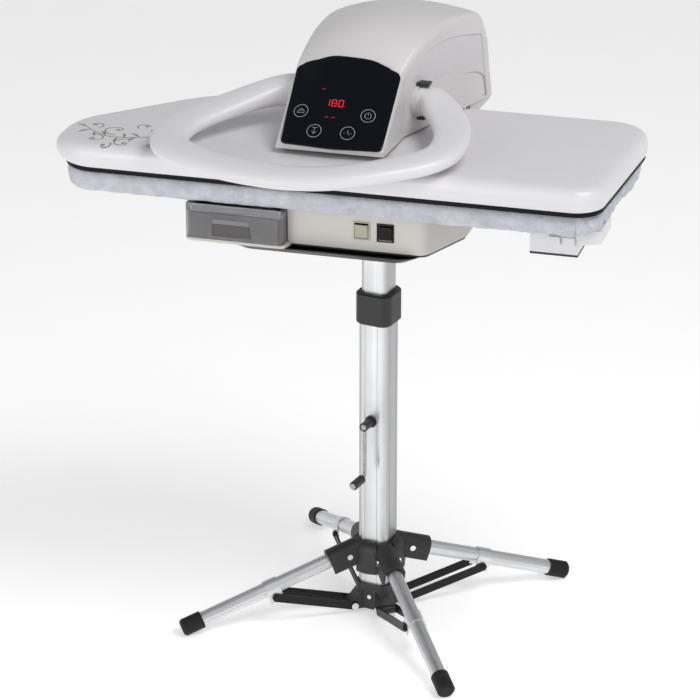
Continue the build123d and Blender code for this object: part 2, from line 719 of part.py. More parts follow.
# Head shell: a lopsided hood, lofted from the brow back to its leaning rear wall
FRONT_LEAN = atan2(HEAD_SECTIONS[0][3] - HEAD_NOSE_SECTION[3], HEAD_BROW_Y - HEAD_FRONT_Y)
FRONT_OUT = Vector(0, -sin(FRONT_LEAN), cos(FRONT_LEAN))
FRONT_LENGTH = (HEAD_BROW_Y - HEAD_FRONT_Y) / cos(FRONT_LEAN)
PANEL_CROWN = (HEAD_SECTIONS[0][4] - HEAD_SECTIONS[0][3]) * sin(FRONT_LEAN)
FRONT_PLANE = Plane(
    origin=(0, HEAD_FRONT_Y, HEAD_NOSE_SECTION[3]),
    x_dir=(1, 0, 0),
    z_dir=(FRONT_OUT.X, FRONT_OUT.Y, FRONT_OUT.Z),
)


def panel_block(low, high, grow):
    """Slice of the sloping front inside the panel's outline, between two depths."""
    left = HEAD_NOSE_SECTION[1] + PANEL_SIDE - grow
    right = HEAD_NOSE_SECTION[2] - PANEL_SIDE + grow
    foot = PANEL_FOOT - grow
    top = FRONT_LENGTH - PANEL_BROW + grow
    with BuildPart() as block:
        with BuildSketch(FRONT_PLANE.offset(-PANEL_PRISM / 2)) as outline:
            with BuildLine():
                Polyline((left, top), (left, foot), (right, foot), (right, top))
                ThreePointArc((right, top), ((left + right) / 2, top + PANEL_CROWN), (left, top))
            make_face()
            fillet(outline.vertices(), radius=PANEL_CORNER_R)
        extrude(amount=PANEL_PRISM)
        add(head_brow(0).moved(Location(FRONT_OUT * high)), mode=Mode.INTERSECT)
        add(head_brow(0).moved(Location(FRONT_OUT * low)), mode=Mode.SUBTRACT)
    return block.part


with BuildPart() as control_panel:
    add(panel_block(PANEL_PROUD - PANEL_T, PANEL_PROUD, 0))
control_panel.part.label = "control_panel"
export_step(control_panel.part, "parts/control_panel.step")

# Side covers: plates let into the hood above an arched seam
with BuildSketch(side_plane(HEAD_SECTIONS[-1][1] - OVERRUN)) as side_outline:
    with BuildLine():
        Polyline((SIDE_BROW_Y, SEAM_CREST_Z), (SIDE_NOSE_Y, SIDE_NOSE_Z), (SIDE_BROW_Y, SIDE_BROW_Z))
        ThreePointArc(
            (SIDE_BROW_Y, SIDE_BROW_Z),
            (SIDE_CREST_Y, SIDE_CREST_Z),
            (SIDE_BACK_Y, SIDE_BACK_Z),
        )
        Polyline((SIDE_BACK_Y, SIDE_BACK_Z), (SIDE_HEEL_Y, SIDE_HEEL_Z), (SEAM_FOOT_Y, SIDE_HEEL_Z))
        ThreePointArc(
            (SEAM_FOOT_Y, SIDE_HEEL_Z),
            (
                (SEAM_FOOT_Y + SEAM_SHOULDER_Y) / 2 + SEAM_BEND,
                (SIDE_HEEL_Z + SEAM_SHOULDER_Z) / 2 + SEAM_BEND,
            ),
            (SEAM_SHOULDER_Y, SEAM_SHOULDER_Z),
        )
        ThreePointArc(
            (SEAM_SHOULDER_Y, SEAM_SHOULDER_Z),
            ((SEAM_SHOULDER_Y + SIDE_BROW_Y) / 2, SEAM_CREST_Z + SEAM_BEND / 2),
            (SIDE_BROW_Y, SEAM_CREST_Z),
        )
    make_face()


def side_block(side, sink, thick):
    """Slice of the hood's own curve inside the side outline; side is 1 at the right, -1 at the left."""
    with BuildPart() as block:
        with BuildSketch(side_plane(0)):
            add(side_outline.sketch_local)
        extrude(amount=side * (HEAD_SECTIONS[-1][2] + OVERRUN))
        add(head_body(0).moved(Location((-side * sink, 0, 0))), mode=Mode.INTERSECT)
        add(head_body(0).moved(Location((-side * (sink + thick), 0, 0))), mode=Mode.SUBTRACT)
    return block.part


with BuildPart() as side_cover_right:
    add(side_block(1, SIDE_COVER_SINK, SIDE_COVER_T))
side_cover_right.part.label = "side_cover_right"
export_step(side_cover_right.part, "parts/side_cover_right.step")

with BuildPart() as side_cover_left:
    add(side_block(-1, SIDE_COVER_SINK, SIDE_COVER_T))
side_cover_left.part.label = "side_cover_left"
export_step(side_cover_left.part, "parts/side_cover_left.step")

with BuildPart() as head_shell:
    add(head_body(0))
    add(head_body(HEAD_WALL), mode=Mode.SUBTRACT)
    add(panel_block(PANEL_PROUD - PANEL_T, OVERRUN, PANEL_FIT), mode=Mode.SUBTRACT)
    add(side_block(1, 0, SIDE_COVER_SINK + SIDE_COVER_T), mode=Mode.SUBTRACT)
    add(side_block(-1, 0, SIDE_COVER_SINK + SIDE_COVER_T), mode=Mode.SUBTRACT)
    with BuildSketch(side_plane(HEAD_SECTIONS[-1][1])):
        with Locations((HANDLE_PIVOT_Y, HANDLE_PIVOT_Z)):
            Circle(HANDLE_SHAFT_D / 2 + PIN_FIT)
    extrude(amount=HEAD_SECTIONS[-1][2] - HEAD_SECTIONS[-1][1], mode=Mode.SUBTRACT)
head_shell.part.label = "head_shell"
export_step(head_shell.part, "parts/head_shell.step")

# Circuit board behind the panel, on the front corners of the arm frame's ears
PCB_PLANE = Plane(
    origin=((EAR_LEFT_X + EAR_RIGHT_X + EAR_T) / 2, ARM_FRONT_Y, SHOE_TOP_Z + ARM_RAIL_H + REST_GAP),
    x_dir=(1, 0, 0),
    z_dir=(FRONT_OUT.X, FRONT_OUT.Y, FRONT_OUT.Z),
)
with BuildPart() as panel_board:
    with BuildSketch(PCB_PLANE):
        with Locations((0, BOARD_PCB_L / 2 - BOARD_PCB_BELOW)):
            Rectangle(EAR_RIGHT_X + EAR_T - EAR_LEFT_X, BOARD_PCB_L)
    extrude(amount=BOARD_PCB_T)
panel_board.part.label = "panel_board"
export_step(panel_board.part, "parts/panel_board.step")

# Handle shaft: runs through the head and both ears of the arm frame
HANDLE_SHAFT_L = HANDLE_BOSS_RIGHT_X - HANDLE_BOSS_LEFT_X - HANDLE_BOSS_R
with BuildPart() as handle_shaft:
    with BuildSketch(side_plane(HANDLE_BOSS_LEFT_X + HANDLE_BOSS_R / 2)):
        with Locations((HANDLE_PIVOT_Y, HANDLE_PIVOT_Z)):
            Circle(HANDLE_SHAFT_D / 2)
    extrude(amount=HANDLE_SHAFT_L)
handle_shaft.part.label = "handle_shaft"
export_step(handle_shaft.part, "parts/handle_shaft.step")

# Handle: an oval bar swept round the loop, with a boss at each end of the shaft
TILT = radians(HANDLE_TILT)
HANDLE_PLANE = Plane(
    origin=(0, HANDLE_LEVEL_Y, HANDLE_LEVEL_Z),
    x_dir=(1, 0, 0),
    z_dir=(0, -sin(TILT), cos(TILT)),
)
HANDLE_CORNERS = (
    (HANDLE_LEG_LEFT_X, HANDLE_LEG_Y),
    (HANDLE_LEFT_X, HANDLE_LEFT_Y),
    (HANDLE_FRONT_X, HANDLE_FRONT_Y),
    (HANDLE_RIGHT_X, HANDLE_RIGHT_Y),
    (HANDLE_SHOULDER_X, HANDLE_SHOULDER_Y),
    (HANDLE_LEG_RIGHT_X, HANDLE_LEG_Y),
)
HANDLE_LEFT_IN = HEAD_SECTIONS[1][1] - 2 * HANDLE_SIDE_GAP
HANDLE_RIGHT_IN = HEAD_SECTIONS[1][2] + 2 * HANDLE_SIDE_GAP
with BuildPart() as handle:
    with BuildLine(HANDLE_PLANE) as loop:
        FilletPolyline(
            *[(x, (y - HANDLE_LEVEL_Y) / cos(TILT)) for x, y in HANDLE_CORNERS],
            radius=HANDLE_RADII,
        )
    with BuildSketch(Plane(origin=loop.line @ 0, x_dir=HANDLE_PLANE.z_dir, z_dir=loop.line % 0)):
        RectangleRounded(HANDLE_H, HANDLE_W, HANDLE_H / 2 - REST_GAP)
    sweep()
    with BuildSketch(side_plane(HANDLE_BOSS_LEFT_X)):
        with Locations((HANDLE_PIVOT_Y, HANDLE_PIVOT_Z)):
            Circle(HANDLE_BOSS_R)
    extrude(amount=HANDLE_LEFT_IN - HANDLE_BOSS_LEFT_X)
    with BuildSketch(side_plane(HANDLE_RIGHT_IN)):
        with Locations((HANDLE_PIVOT_Y, HANDLE_PIVOT_Z)):
            Circle(HANDLE_BOSS_R)
    extrude(amount=HANDLE_BOSS_RIGHT_X - HANDLE_RIGHT_IN)
    with BuildSketch(side_plane(HANDLE_BOSS_LEFT_X + HANDLE_BOSS_R / 2 - REST_GAP)):
        with Locations((HANDLE_PIVOT_Y, HANDLE_PIVOT_Z)):
            Circle(HANDLE_SHAFT_D / 2 + PIN_FIT)
    extrude(amount=HANDLE_SHAFT_L + 2 * REST_GAP, mode=Mode.SUBTRACT)
handle.part.label = "handle"
export_step(handle.part, "parts/handle.step")


def housing_outline(height, inset):
    """Plan outline of the base housing: its right side flares out towards the back."""
    corners = (
        (HOUSING_LEFT_X, HOUSING_FRONT_Y),
        (HOUSING_CORNER_X, HOUSING_FRONT_Y),
        (HOUSING_RIGHT_X, HOUSING_FLARE_Y),
        (HOUSING_RIGHT_X, HOUSING_BACK_Y),
        (HOUSING_LEFT_X, HOUSING_BACK_Y),
    )
    with BuildSketch(Plane.XY.offset(height)) as outline:
        with BuildLine():
            Polyline(*corners, close=True)
        make_face()
        fillet(outline.vertices().filter_by(lambda v: v.Y < HOUSING_FLARE_Y and v.X > 0), radius=HOUSING_R)
        fillet(outline.vertices().group_by(Axis.Y)[-1], radius=HOUSING_R)
        if inset:
            offset(amount=-inset)
    return outline.sketch


# Base housing with a bay for the water tank and two switch openings
BAY_X = HOUSING_LEFT_X + HOUSING_WALL
BAY_W = TANK_W + 2 * TANK_GAP
BAY_Z = HOUSING_Z + HOUSING_WALL
BAY_TOP_Z = BAY_Z + REST_GAP + TANK_H + TANK_RIM_H + TANK_GAP
BAY_BACK_Y = TANK_BACK_Y + TANK_GAP
SWITCH_XS = (POWER_SWITCH_X, STEAM_SWITCH_X)
with BuildPart() as base_housing:
    extrude(housing_outline(HOUSING_Z, 0), amount=HOUSING_TOP_Z - HOUSING_Z)
    extrude(
        housing_outline(HOUSING_Z, HOUSING_WALL),
        amount=HOUSING_TOP_Z - HOUSING_WALL - HOUSING_Z,
        mode=Mode.SUBTRACT,
    )
    with BuildSketch(Plane.XY.offset(HOUSING_Z)):
        with Locations((HOUSING_LEFT_X, HOUSING_FRONT_Y)):
            Rectangle(
                BAY_W + 2 * HOUSING_WALL,
                BAY_BACK_Y + HOUSING_WALL - HOUSING_FRONT_Y,
                align=(Align.MIN, Align.MIN),
            )
    extrude(amount=HOUSING_TOP_Z - HOUSING_Z)
    with BuildSketch(Plane.XY.offset(BAY_Z)):
        with Locations((BAY_X, HOUSING_FRONT_Y - OVERRUN)):
            Rectangle(BAY_W, BAY_BACK_Y - HOUSING_FRONT_Y + OVERRUN, align=(Align.MIN, Align.MIN))
    extrude(amount=BAY_TOP_Z - BAY_Z, mode=Mode.SUBTRACT)
    with BuildSketch(cross_plane(HOUSING_FRONT_Y + HOUSING_WALL + OVERRUN)):
        with Locations(*[(x, SWITCH_Z) for x in SWITCH_XS]):
            Rectangle(SWITCH_W - 2 * BEZEL_RIM, SWITCH_H - 2 * BEZEL_RIM)
    extrude(amount=HOUSING_WALL + 2 * OVERRUN, mode=Mode.SUBTRACT)
    with BuildSketch(cross_plane(HOUSING_BACK_Y + OVERRUN)):
        with Locations((GLAND_X, GLAND_Z)):
            Circle(GLAND_R)
    extrude(amount=HOUSING_WALL + 2 * OVERRUN, mode=Mode.SUBTRACT)
base_housing.part.label = "base_housing"
export_step(base_housing.part, "parts/base_housing.step")

with BuildPart() as base_plate:
    extrude(housing_outline(TRAY_TOP_Z, BASE_PLATE_INSET), amount=BASE_PLATE)
base_plate.part.label = "base_plate"
export_step(base_plate.part, "parts/base_plate.step")

# Water tank: an open drawer with a finger pull, and a rim frame round its mouth
TANK_X = BAY_X + TANK_GAP + TANK_W / 2
TANK_Z = BAY_Z + REST_GAP
TANK_Y = (TANK_FRONT_Y + TANK_BACK_Y) / 2
TANK_DEEP = TANK_BACK_Y - TANK_FRONT_Y
PULL_TOP_Z = TANK_Z + TANK_H - TANK_WALL
with BuildPart() as water_tank:
    with BuildSketch(Plane.XY.offset(TANK_Z)):
        with Locations((TANK_X, TANK_Y)):
            RectangleRounded(TANK_W, TANK_DEEP, TANK_R)
    extrude(amount=TANK_H)
    with BuildSketch(Plane.XY.offset(TANK_Z + TANK_WALL)):
        with Locations((TANK_X, TANK_Y)):
            RectangleRounded(TANK_W - 2 * TANK_WALL, TANK_DEEP - 2 * TANK_WALL, TANK_R - TANK_WALL)
    extrude(amount=TANK_H, mode=Mode.SUBTRACT)
    for wall, mode in ((TANK_WALL, Mode.ADD), (0, Mode.SUBTRACT)):
        depth = PULL_DEPTH + wall
        start_y = TANK_FRONT_Y if wall else TANK_FRONT_Y - OVERRUN
        with BuildSketch(cross_plane(TANK_FRONT_Y + depth)):
            with BuildLine():
                Polyline(
                    (TANK_X + PULL_X - PULL_TOP_W / 2 - wall, PULL_TOP_Z + wall),
                    (TANK_X + PULL_X + PULL_TOP_W / 2 + wall, PULL_TOP_Z + wall),
                    (TANK_X + PULL_X + PULL_FOOT_W / 2 + wall, PULL_TOP_Z - PULL_H - wall),
                    (TANK_X + PULL_X - PULL_FOOT_W / 2 - wall, PULL_TOP_Z - PULL_H - wall),
                    close=True,
                )
            make_face()
        extrude(amount=TANK_FRONT_Y + depth - start_y, mode=mode)
water_tank.part.label = "water_tank"
export_step(water_tank.part, "parts/water_tank.step")

RIM_HOLE_W = TANK_W - 2 * TANK_RIM_W
RIM_HOLE_DEEP = TANK_DEEP - 2 * TANK_RIM_W
with BuildPart() as tank_rim:
    with BuildSketch(Plane.XY.offset(TANK_Z + TANK_H)):
        with Locations((TANK_X, TANK_Y)):
            RectangleRounded(TANK_W, TANK_DEEP, TANK_R)
            RectangleRounded(RIM_HOLE_W, RIM_HOLE_DEEP, TANK_R / 2, mode=Mode.SUBTRACT)
    extrude(amount=TANK_RIM_H)
tank_rim.part.label = "tank_rim"
export_step(tank_rim.part, "parts/tank_rim.step")

# Switch bezels and their rockers
with BuildPart() as switch_bezels:
    with BuildSketch(cross_plane(HOUSING_FRONT_Y)):
        with Locations(*[(x, SWITCH_Z) for x in SWITCH_XS]):
            Rectangle(SWITCH_W, SWITCH_H)
    extrude(amount=BEZEL_PROUD)
    with BuildSketch(cross_plane(HOUSING_FRONT_Y)):
        with Locations(*[(x, SWITCH_Z) for x in SWITCH_XS]):
            Rectangle(SWITCH_W - 2 * BEZEL_RIM, SWITCH_H - 2 * BEZEL_RIM)
    extrude(amount=-BEZEL_DEPTH)
    with BuildSketch(cross_plane(HOUSING_FRONT_Y + BEZEL_DEPTH - BEZEL_PROUD)):
        with Locations(*[(x, SWITCH_Z) for x in SWITCH_XS]):
            Rectangle(SWITCH_W - 3 * BEZEL_RIM, SWITCH_H - 3 * BEZEL_RIM)
    extrude(amount=BEZEL_DEPTH + OVERRUN, mode=Mode.SUBTRACT)
switch_bezels.part.label = "switch_bezels"
export_step(switch_bezels.part, "parts/switch_bezels.step")

ROCKER_W = SWITCH_W - 3 * BEZEL_RIM - ROCKER_GAP
ROCKER_H = SWITCH_H - 3 * BEZEL_RIM - ROCKER_GAP
ROCKER_PIVOT_Y = HOUSING_FRONT_Y + ROCKER_DEPTH / 3
ROCKER_FACE_Y = HOUSING_FRONT_Y - BEZEL_PROUD - ROCKER_PROUD
ROCKER_WING = ROCKER_H / 2 * tan(radians(ROCKER_TILT))


def rocker(x):
    """Rocker with a shallow V face, tipped with its lower half pressed in."""
    with BuildPart() as body:
        with BuildSketch(side_plane(x - ROCKER_W / 2)):
            with BuildLine():
                Polyline(
                    (ROCKER_PIVOT_Y + ROCKER_DEPTH / 3, SWITCH_Z - ROCKER_H / 4),
                    (ROCKER_FACE_Y, SWITCH_Z - ROCKER_H / 2 + REST_GAP),
                    (ROCKER_FACE_Y, SWITCH_Z),
                    (ROCKER_FACE_Y - 2 * ROCKER_WING, SWITCH_Z + ROCKER_H / 2 - REST_GAP),
                    (ROCKER_PIVOT_Y + ROCKER_DEPTH / 3, SWITCH_Z + ROCKER_H / 4),
                    close=True,
                )
            make_face()
        extrude(amount=ROCKER_W)
        with BuildSketch(side_plane(x - ROCKER_W / 2 - ROCKER_GAP / 2 + REST_GAP)):
            with Locations((ROCKER_PIVOT_Y, SWITCH_Z)):
                Circle(ROCKER_PIN_R)
        extrude(amount=ROCKER_W + ROCKER_GAP - 2 * REST_GAP)
    return body.part


with BuildPart() as power_rocker:
    add(rocker(POWER_SWITCH_X))
power_rocker.part.label = "power_rocker"
export_step(power_rocker.part, "parts/power_rocker.step")

with BuildPart() as steam_rocker:
    add(rocker(STEAM_SWITCH_X))
steam_rocker.part.label = "steam_rocker"
export_step(steam_rocker.part, "parts/steam_rocker.step")

# Pump on its cradle, power board on pillars, and the mains gland at the back
with BuildPart() as water_pump:
    with BuildSketch(side_plane(PUMP_X - PUMP_L / 2)):
        with Locations((PUMP_Y, HOUSING_Z + PUMP_R + HOUSING_WALL)):
            Circle(PUMP_R)
    extrude(amount=PUMP_L)
    with BuildSketch(side_plane(PUMP_X - PUMP_L / 4)):
        with Locations((PUMP_Y, HOUSING_Z)):
            Rectangle(PUMP_CRADLE_W, PUMP_R, align=(Align.CENTER, Align.MIN))
    extrude(amount=PUMP_L / 2)
water_pump.part.label = "water_pump"
export_step(water_pump.part, "parts/water_pump.step")

with BuildPart() as power_board:
    with BuildSketch(Plane.XY.offset(HOUSING_Z + PILLAR_H)):
        with Locations((POWER_BOARD_X, POWER_BOARD_Y)):
            Rectangle(POWER_BOARD_W, POWER_BOARD_L)
    extrude(amount=BOARD_PCB_T)
    with BuildSketch(Plane.XY.offset(HOUSING_Z)):
        with Locations((POWER_BOARD_X, POWER_BOARD_Y)):
            with GridLocations(POWER_BOARD_W - 3 * PILLAR_R, POWER_BOARD_L - 3 * PILLAR_R, 2, 2):
                Circle(PILLAR_R)
    extrude(amount=PILLAR_H)
    with BuildSketch(Plane.XY.offset(HOUSING_Z + PILLAR_H + BOARD_PCB_T)):
        with Locations((POWER_BOARD_X, POWER_BOARD_Y)):
            with GridLocations(0, POWER_BOARD_L / 2, 1, 2):
                Rectangle(CHOKE_SIZE, CHOKE_SIZE)
    extrude(amount=CHOKE_SIZE)
power_board.part.label = "power_board"
export_step(power_board.part, "parts/power_board.step")

with BuildPart() as mains_gland:
    with BuildSketch(cross_plane(HOUSING_BACK_Y + GLAND_LONG)):
        with Locations((GLAND_X, GLAND_Z)):
            Circle(GLAND_R)
            Circle(GLAND_BORE_R, mode=Mode.SUBTRACT)
    extrude(amount=GLAND_LONG + HOUSING_WALL + GLAND_FLANGE)
    with BuildSketch(cross_plane(HOUSING_BACK_Y + GLAND_FLANGE)):
        with Locations((GLAND_X, GLAND_Z)):
            Circle(GLAND_R + GLAND_FLANGE)
            Circle(GLAND_BORE_R, mode=Mode.SUBTRACT)
    extrude(amount=GLAND_FLANGE)
mains_gland.part.label = "mains_gland"
export_step(mains_gland.part, "parts/mains_gland.step")

# Hinge cover: a moulded tub behind the housing, open above where the arm comes down
with BuildPart() as hinge_cover:
    for wall, mode in ((0, Mode.ADD), (COVER_WALL, Mode.SUBTRACT)):
        top = OVERRUN if wall else 0
        with BuildSketch(side_plane(COVER_LEFT_X + wall)):
            with BuildLine():
                Polyline(
                    (HOUSING_BACK_Y - top, COVER_Z + wall),
                    (COVER_SLOPE_Y, COVER_Z + wall),
                    (COVER_BACK_Y - wall, COVER_Z + COVER_BACK_Y - COVER_SLOPE_Y),
                    (COVER_BACK_Y - wall, HINGE_Z + top),
                    (COVER_SHELF_Y, HINGE_Z + top),
                    (COVER_SHELF_Y, HOUSING_TOP_Z + wall),
                    (HOUSING_BACK_Y - top, HOUSING_TOP_Z + wall),
                    close=True,
                )
            make_face()
        extrude(amount=COVER_RIGHT_X - COVER_LEFT_X - 2 * wall, mode=mode)
hinge_cover.part.label = "hinge_cover"
export_step(hinge_cover.part, "parts/hinge_cover.step")

# Box under the board's square end, on a dark foot, with two catch tabs
with BuildPart() as end_box:
    with BuildSketch(cross_plane(END_BOX_Y + END_BOX_DEEP)):
        with BuildLine():
            Polyline(
                (END_BOX_X, END_BOX_Z),
                (END_BOX_FOOT_X, END_BOX_Z),
                (END_BOX_FOOT_X + END_BOX_TOP_IN, END_BOX_STEP_Z),
                (END_BOX_END_X, END_BOX_STEP_Z + END_BOX_TOP_IN),
                (END_BOX_END_X, PAD_Z - REST_GAP),
                (END_BOX_X, PAD_Z - REST_GAP),
                close=True,
            )
        make_face()
    extrude(amount=END_BOX_DEEP)
    fillet(end_box.edges().filter_by(Axis.Y), radius=END_BOX_TOP_IN / 2)
    with BuildSketch(Plane.XY.offset(PAD_Z - REST_GAP)):
        with Locations(((END_BOX_TOP_X + END_BOX_TOP_END_X) / 2, END_BOX_Y + END_BOX_DEEP / 2)):
            Rectangle(END_BOX_TOP_END_X - END_BOX_TOP_X, END_BOX_DEEP - 2 * END_BOX_TOP_IN)
    extrude(amount=BED_TOP_Z - BED_PLATE - PAD_Z + REST_GAP)
end_box.part.label = "end_box"
export_step(end_box.part, "parts/end_box.step")

with BuildPart() as end_box_foot:
    with BuildSketch(Plane.XY.offset(END_BOX_Z - END_FOOT_T)):
        with Locations(((END_BOX_X + END_BOX_FOOT_X) / 2, END_BOX_Y + END_BOX_DEEP / 2)):
            Rectangle(END_BOX_FOOT_X - END_BOX_X, END_BOX_DEEP)
    extrude(amount=END_FOOT_T)
end_box_foot.part.label = "end_box_foot"
export_step(end_box_foot.part, "parts/end_box_foot.step")

with BuildPart() as end_box_tabs:
    with BuildSketch(cross_plane(END_BOX_Y)):
        with Locations((END_TAB_X, END_TAB_Z), (END_TAB_X + END_TAB_PITCH, END_TAB_Z)):
            Rectangle(END_TAB_W, END_TAB_H)
    extrude(amount=END_TAB_T)
end_box_tabs.part.label = "end_box_tabs"
export_step(end_box_tabs.part, "parts/end_box_tabs.step")

# Tray under the housing: a dish with a rim, and a socket for the inner column
TRAY_MIDDLE = ((TRAY_X + TRAY_END_X) / 2, (TRAY_FRONT_Y + TRAY_BACK_Y) / 2)


def tray_level(height, inset):
    """Plan outline of the tray at one height, drawn in by an inset."""
    with BuildSketch(Plane.XY.offset(height)) as level:
        with Locations(TRAY_MIDDLE):
            RectangleRounded(
                TRAY_END_X - TRAY_X - 2 * inset,
                TRAY_BACK_Y - TRAY_FRONT_Y - 2 * inset,
                TRAY_R - inset / 2,
            )
    return level.sketch


with BuildPart() as tray:
    loft([tray_level(TRAY_Z, TRAY_DRAFT), tray_level(TRAY_TOP_Z, 0)])
    loft(
        [tray_level(TRAY_Z + TRAY_WALL, TRAY_DRAFT + TRAY_WALL), tray_level(TRAY_TOP_Z, TRAY_RIM)],
        mode=Mode.SUBTRACT,
    )
    with BuildSketch(stand_plane(SOCKET_Z)):
        RectangleRounded(SOCKET_W, SOCKET_W, SOCKET_R)
    extrude(amount=TRAY_TOP_Z - SOCKET_Z)
    with BuildSketch(stand_plane(SOCKET_Z)):
        RectangleRounded(INNER_W, INNER_W, INNER_R)
    extrude(amount=TRAY_Z - SOCKET_Z, mode=Mode.SUBTRACT)
tray.part.label = "tray"
export_step(tray.part, "parts/tray.step")

# Outer column: a square extrusion with a pair of grooves in each face
with BuildPart() as outer_column:
    with BuildSketch(stand_plane(COLUMN_Z)):
        RectangleRounded(COLUMN_W, COLUMN_W, COLUMN_R)
        RectangleRounded(
            COLUMN_W - 2 * COLUMN_WALL, COLUMN_W - 2 * COLUMN_WALL, COLUMN_R - COLUMN_WALL, mode=Mode.SUBTRACT
        )
        with PolarLocations(COLUMN_W / 2, 4):
            with Locations((0, -GROOVE_AT), (0, GROOVE_AT)):
                Rectangle(2 * GROOVE_DEEP, GROOVE_W, mode=Mode.SUBTRACT)
    extrude(amount=COLUMN_TOP_Z - COLUMN_Z)
    with BuildSketch(face_plane(0, CRANK_Z)):
        Circle(BUSH_R)
    extrude(amount=COLUMN_W, mode=Mode.SUBTRACT)
outer_column.part.label = "outer_column"
export_step(outer_column.part, "parts/outer_column.step")

# Inner column, open at the bottom for the crank's shaft
with BuildPart() as inner_column:
    with BuildSketch(stand_plane(INNER_Z)):
        RectangleRounded(INNER_W, INNER_W, INNER_R)
        RectangleRounded(
            INNER_W - 2 * INNER_WALL, INNER_W - 2 * INNER_WALL, INNER_R - INNER_WALL, mode=Mode.SUBTRACT
        )
    extrude(amount=TRAY_Z - INNER_Z)
    with BuildSketch(face_plane(INNER_W / 2 - INNER_WALL - OVERRUN, INNER_Z)):
        Rectangle(2 * BUSH_R + 2 * SLIDE_GAP, 2 * (CRANK_Z - INNER_Z + COLUMN_W))
    extrude(amount=INNER_WALL + 2 * OVERRUN, mode=Mode.SUBTRACT)
inner_column.part.label = "inner_column"
export_step(inner_column.part, "parts/inner_column.step")

# Slide ring at the foot of the inner column
with BuildPart() as slide_ring:
    ring_w = COLUMN_W - 2 * COLUMN_WALL - 2 * REST_GAP
    with BuildSketch(stand_plane(INNER_Z)):
        RectangleRounded(ring_w, ring_w, INNER_R)
        RectangleRounded(INNER_W, INNER_W, INNER_R, mode=Mode.SUBTRACT)
    extrude(amount=SLIDE_RING_H)
    with BuildSketch(face_plane(INNER_W / 2 - INNER_WALL - OVERRUN, INNER_Z)):
        Rectangle(2 * BUSH_R + 2 * SLIDE_GAP, 2 * SLIDE_RING_H + 2 * OVERRUN)
    extrude(amount=INNER_WALL + 2 * OVERRUN, mode=Mode.SUBTRACT)
slide_ring.part.label = "slide_ring"
export_step(slide_ring.part, "parts/slide_ring.step")

# Clamp collar on the outer column's mouth
with BuildPart() as clamp_collar:
    with BuildSketch(stand_plane(COLLAR_Z)):
        RectangleRounded(COLLAR_W, COLLAR_W, COLLAR_R)
    extrude(amount=COLLAR_TOP_Z - COLLAR_Z)
    collar_levels = clamp_collar.edges().group_by(Axis.Z)
    chamfer(collar_levels[0] + collar_levels[-1], length=COLLAR_EDGE)
    with BuildSketch(stand_plane(COLLAR_Z)):
        RectangleRounded(COLUMN_W, COLUMN_W, COLUMN_R)
    extrude(amount=COLUMN_TOP_Z - COLLAR_Z, mode=Mode.SUBTRACT)
    with BuildSketch(stand_plane(COLLAR_Z)):
        RectangleRounded(INNER_W + 2 * SLIDE_GAP, INNER_W + 2 * SLIDE_GAP, INNER_R + SLIDE_GAP)
    extrude(amount=COLLAR_TOP_Z - COLLAR_Z, mode=Mode.SUBTRACT)
clamp_collar.part.label = "clamp_collar"
export_step(clamp_collar.part, "parts/clamp_collar.step")


def tooth(thick_at_pitch, tip, root):
    """One straight-sided tooth that points along +X from its pitch line."""
    flank = tan(radians(TOOTH_FLANK))
    tip_half = thick_at_pitch / 2 - tip * flank
    root_half = thick_at_pitch / 2 + root * flank
    return ((-root, -root_half), (tip, -tip_half), (tip, tip_half), (-root, root_half))


# Rack on the inner column, in mesh with the crank's pinion
TOOTH_T = TOOTH_PITCH / 2 - TOOTH_BACKLASH
RACK_TOP_Z = CRANK_Z + (RACK_TEETH_ABOVE + 1) * TOOTH_PITCH
RACK_Z = RACK_TOP_Z - (RACK_TEETH + 1) * TOOTH_PITCH
RACK_ROOT = PITCH_R + DEDENDUM
RACK_BACK = INNER_W / 2 - INNER_WALL
FIRST_TOOTH_Z = RACK_TOP_Z - TOOTH_PITCH - TOOTH_PITCH / 2
with BuildPart() as rack:
    with BuildSketch(face_plane(-GEAR_W / 2, 0)):
        with Locations(((RACK_ROOT + RACK_BACK) / 2, (RACK_Z + RACK_TOP_Z) / 2)):
            Rectangle(RACK_BACK - RACK_ROOT, RACK_TOP_Z - RACK_Z)
        for index in range(RACK_TEETH):
            tooth_z = FIRST_TOOTH_Z - index * TOOTH_PITCH
            with BuildLine():
                Polyline(
                    *[(PITCH_R - x, tooth_z + y) for x, y in tooth(TOOTH_T, ADDENDUM, DEDENDUM + REST_GAP)],
                    close=True,
                )
            make_face()
    extrude(amount=GEAR_W)
rack.part.label = "rack"
export_step(rack.part, "parts/rack.step")

# Crank: pinion and shaft in a flanged bush, a bent rod and a free-turning grip
with BuildSketch() as pinion_tooth:
    with BuildLine():
        Polyline(*tooth(TOOTH_T, ADDENDUM, DEDENDUM + REST_GAP), close=True)
    make_face()
with BuildPart() as pinion:
    with BuildSketch(face_plane(-GEAR_W / 2, CRANK_Z)):
        Circle(PITCH_R - DEDENDUM)
        with PolarLocations(PITCH_R, PINION_TEETH):
            add(pinion_tooth.sketch)
        Circle(SHAFT_D / 2, mode=Mode.SUBTRACT)
    extrude(amount=GEAR_W)
pinion.part.label = "pinion"
export_step(pinion.part, "parts/pinion.step")

with BuildPart() as crank_bush:
    with BuildSketch(face_plane(COLUMN_W / 2 - COLUMN_WALL, CRANK_Z)):
        Circle(BUSH_R)
        Circle(SHAFT_D / 2 + PIN_FIT, mode=Mode.SUBTRACT)
    extrude(amount=COLUMN_WALL)
    with BuildSketch(face_plane(COLUMN_W / 2, CRANK_Z)):
        Circle(BUSH_FLANGE_R)
        Circle(SHAFT_D / 2 + PIN_FIT, mode=Mode.SUBTRACT)
    extrude(amount=BUSH_FLANGE)
crank_bush.part.label = "crank_bush"
export_step(crank_bush.part, "parts/crank_bush.step")

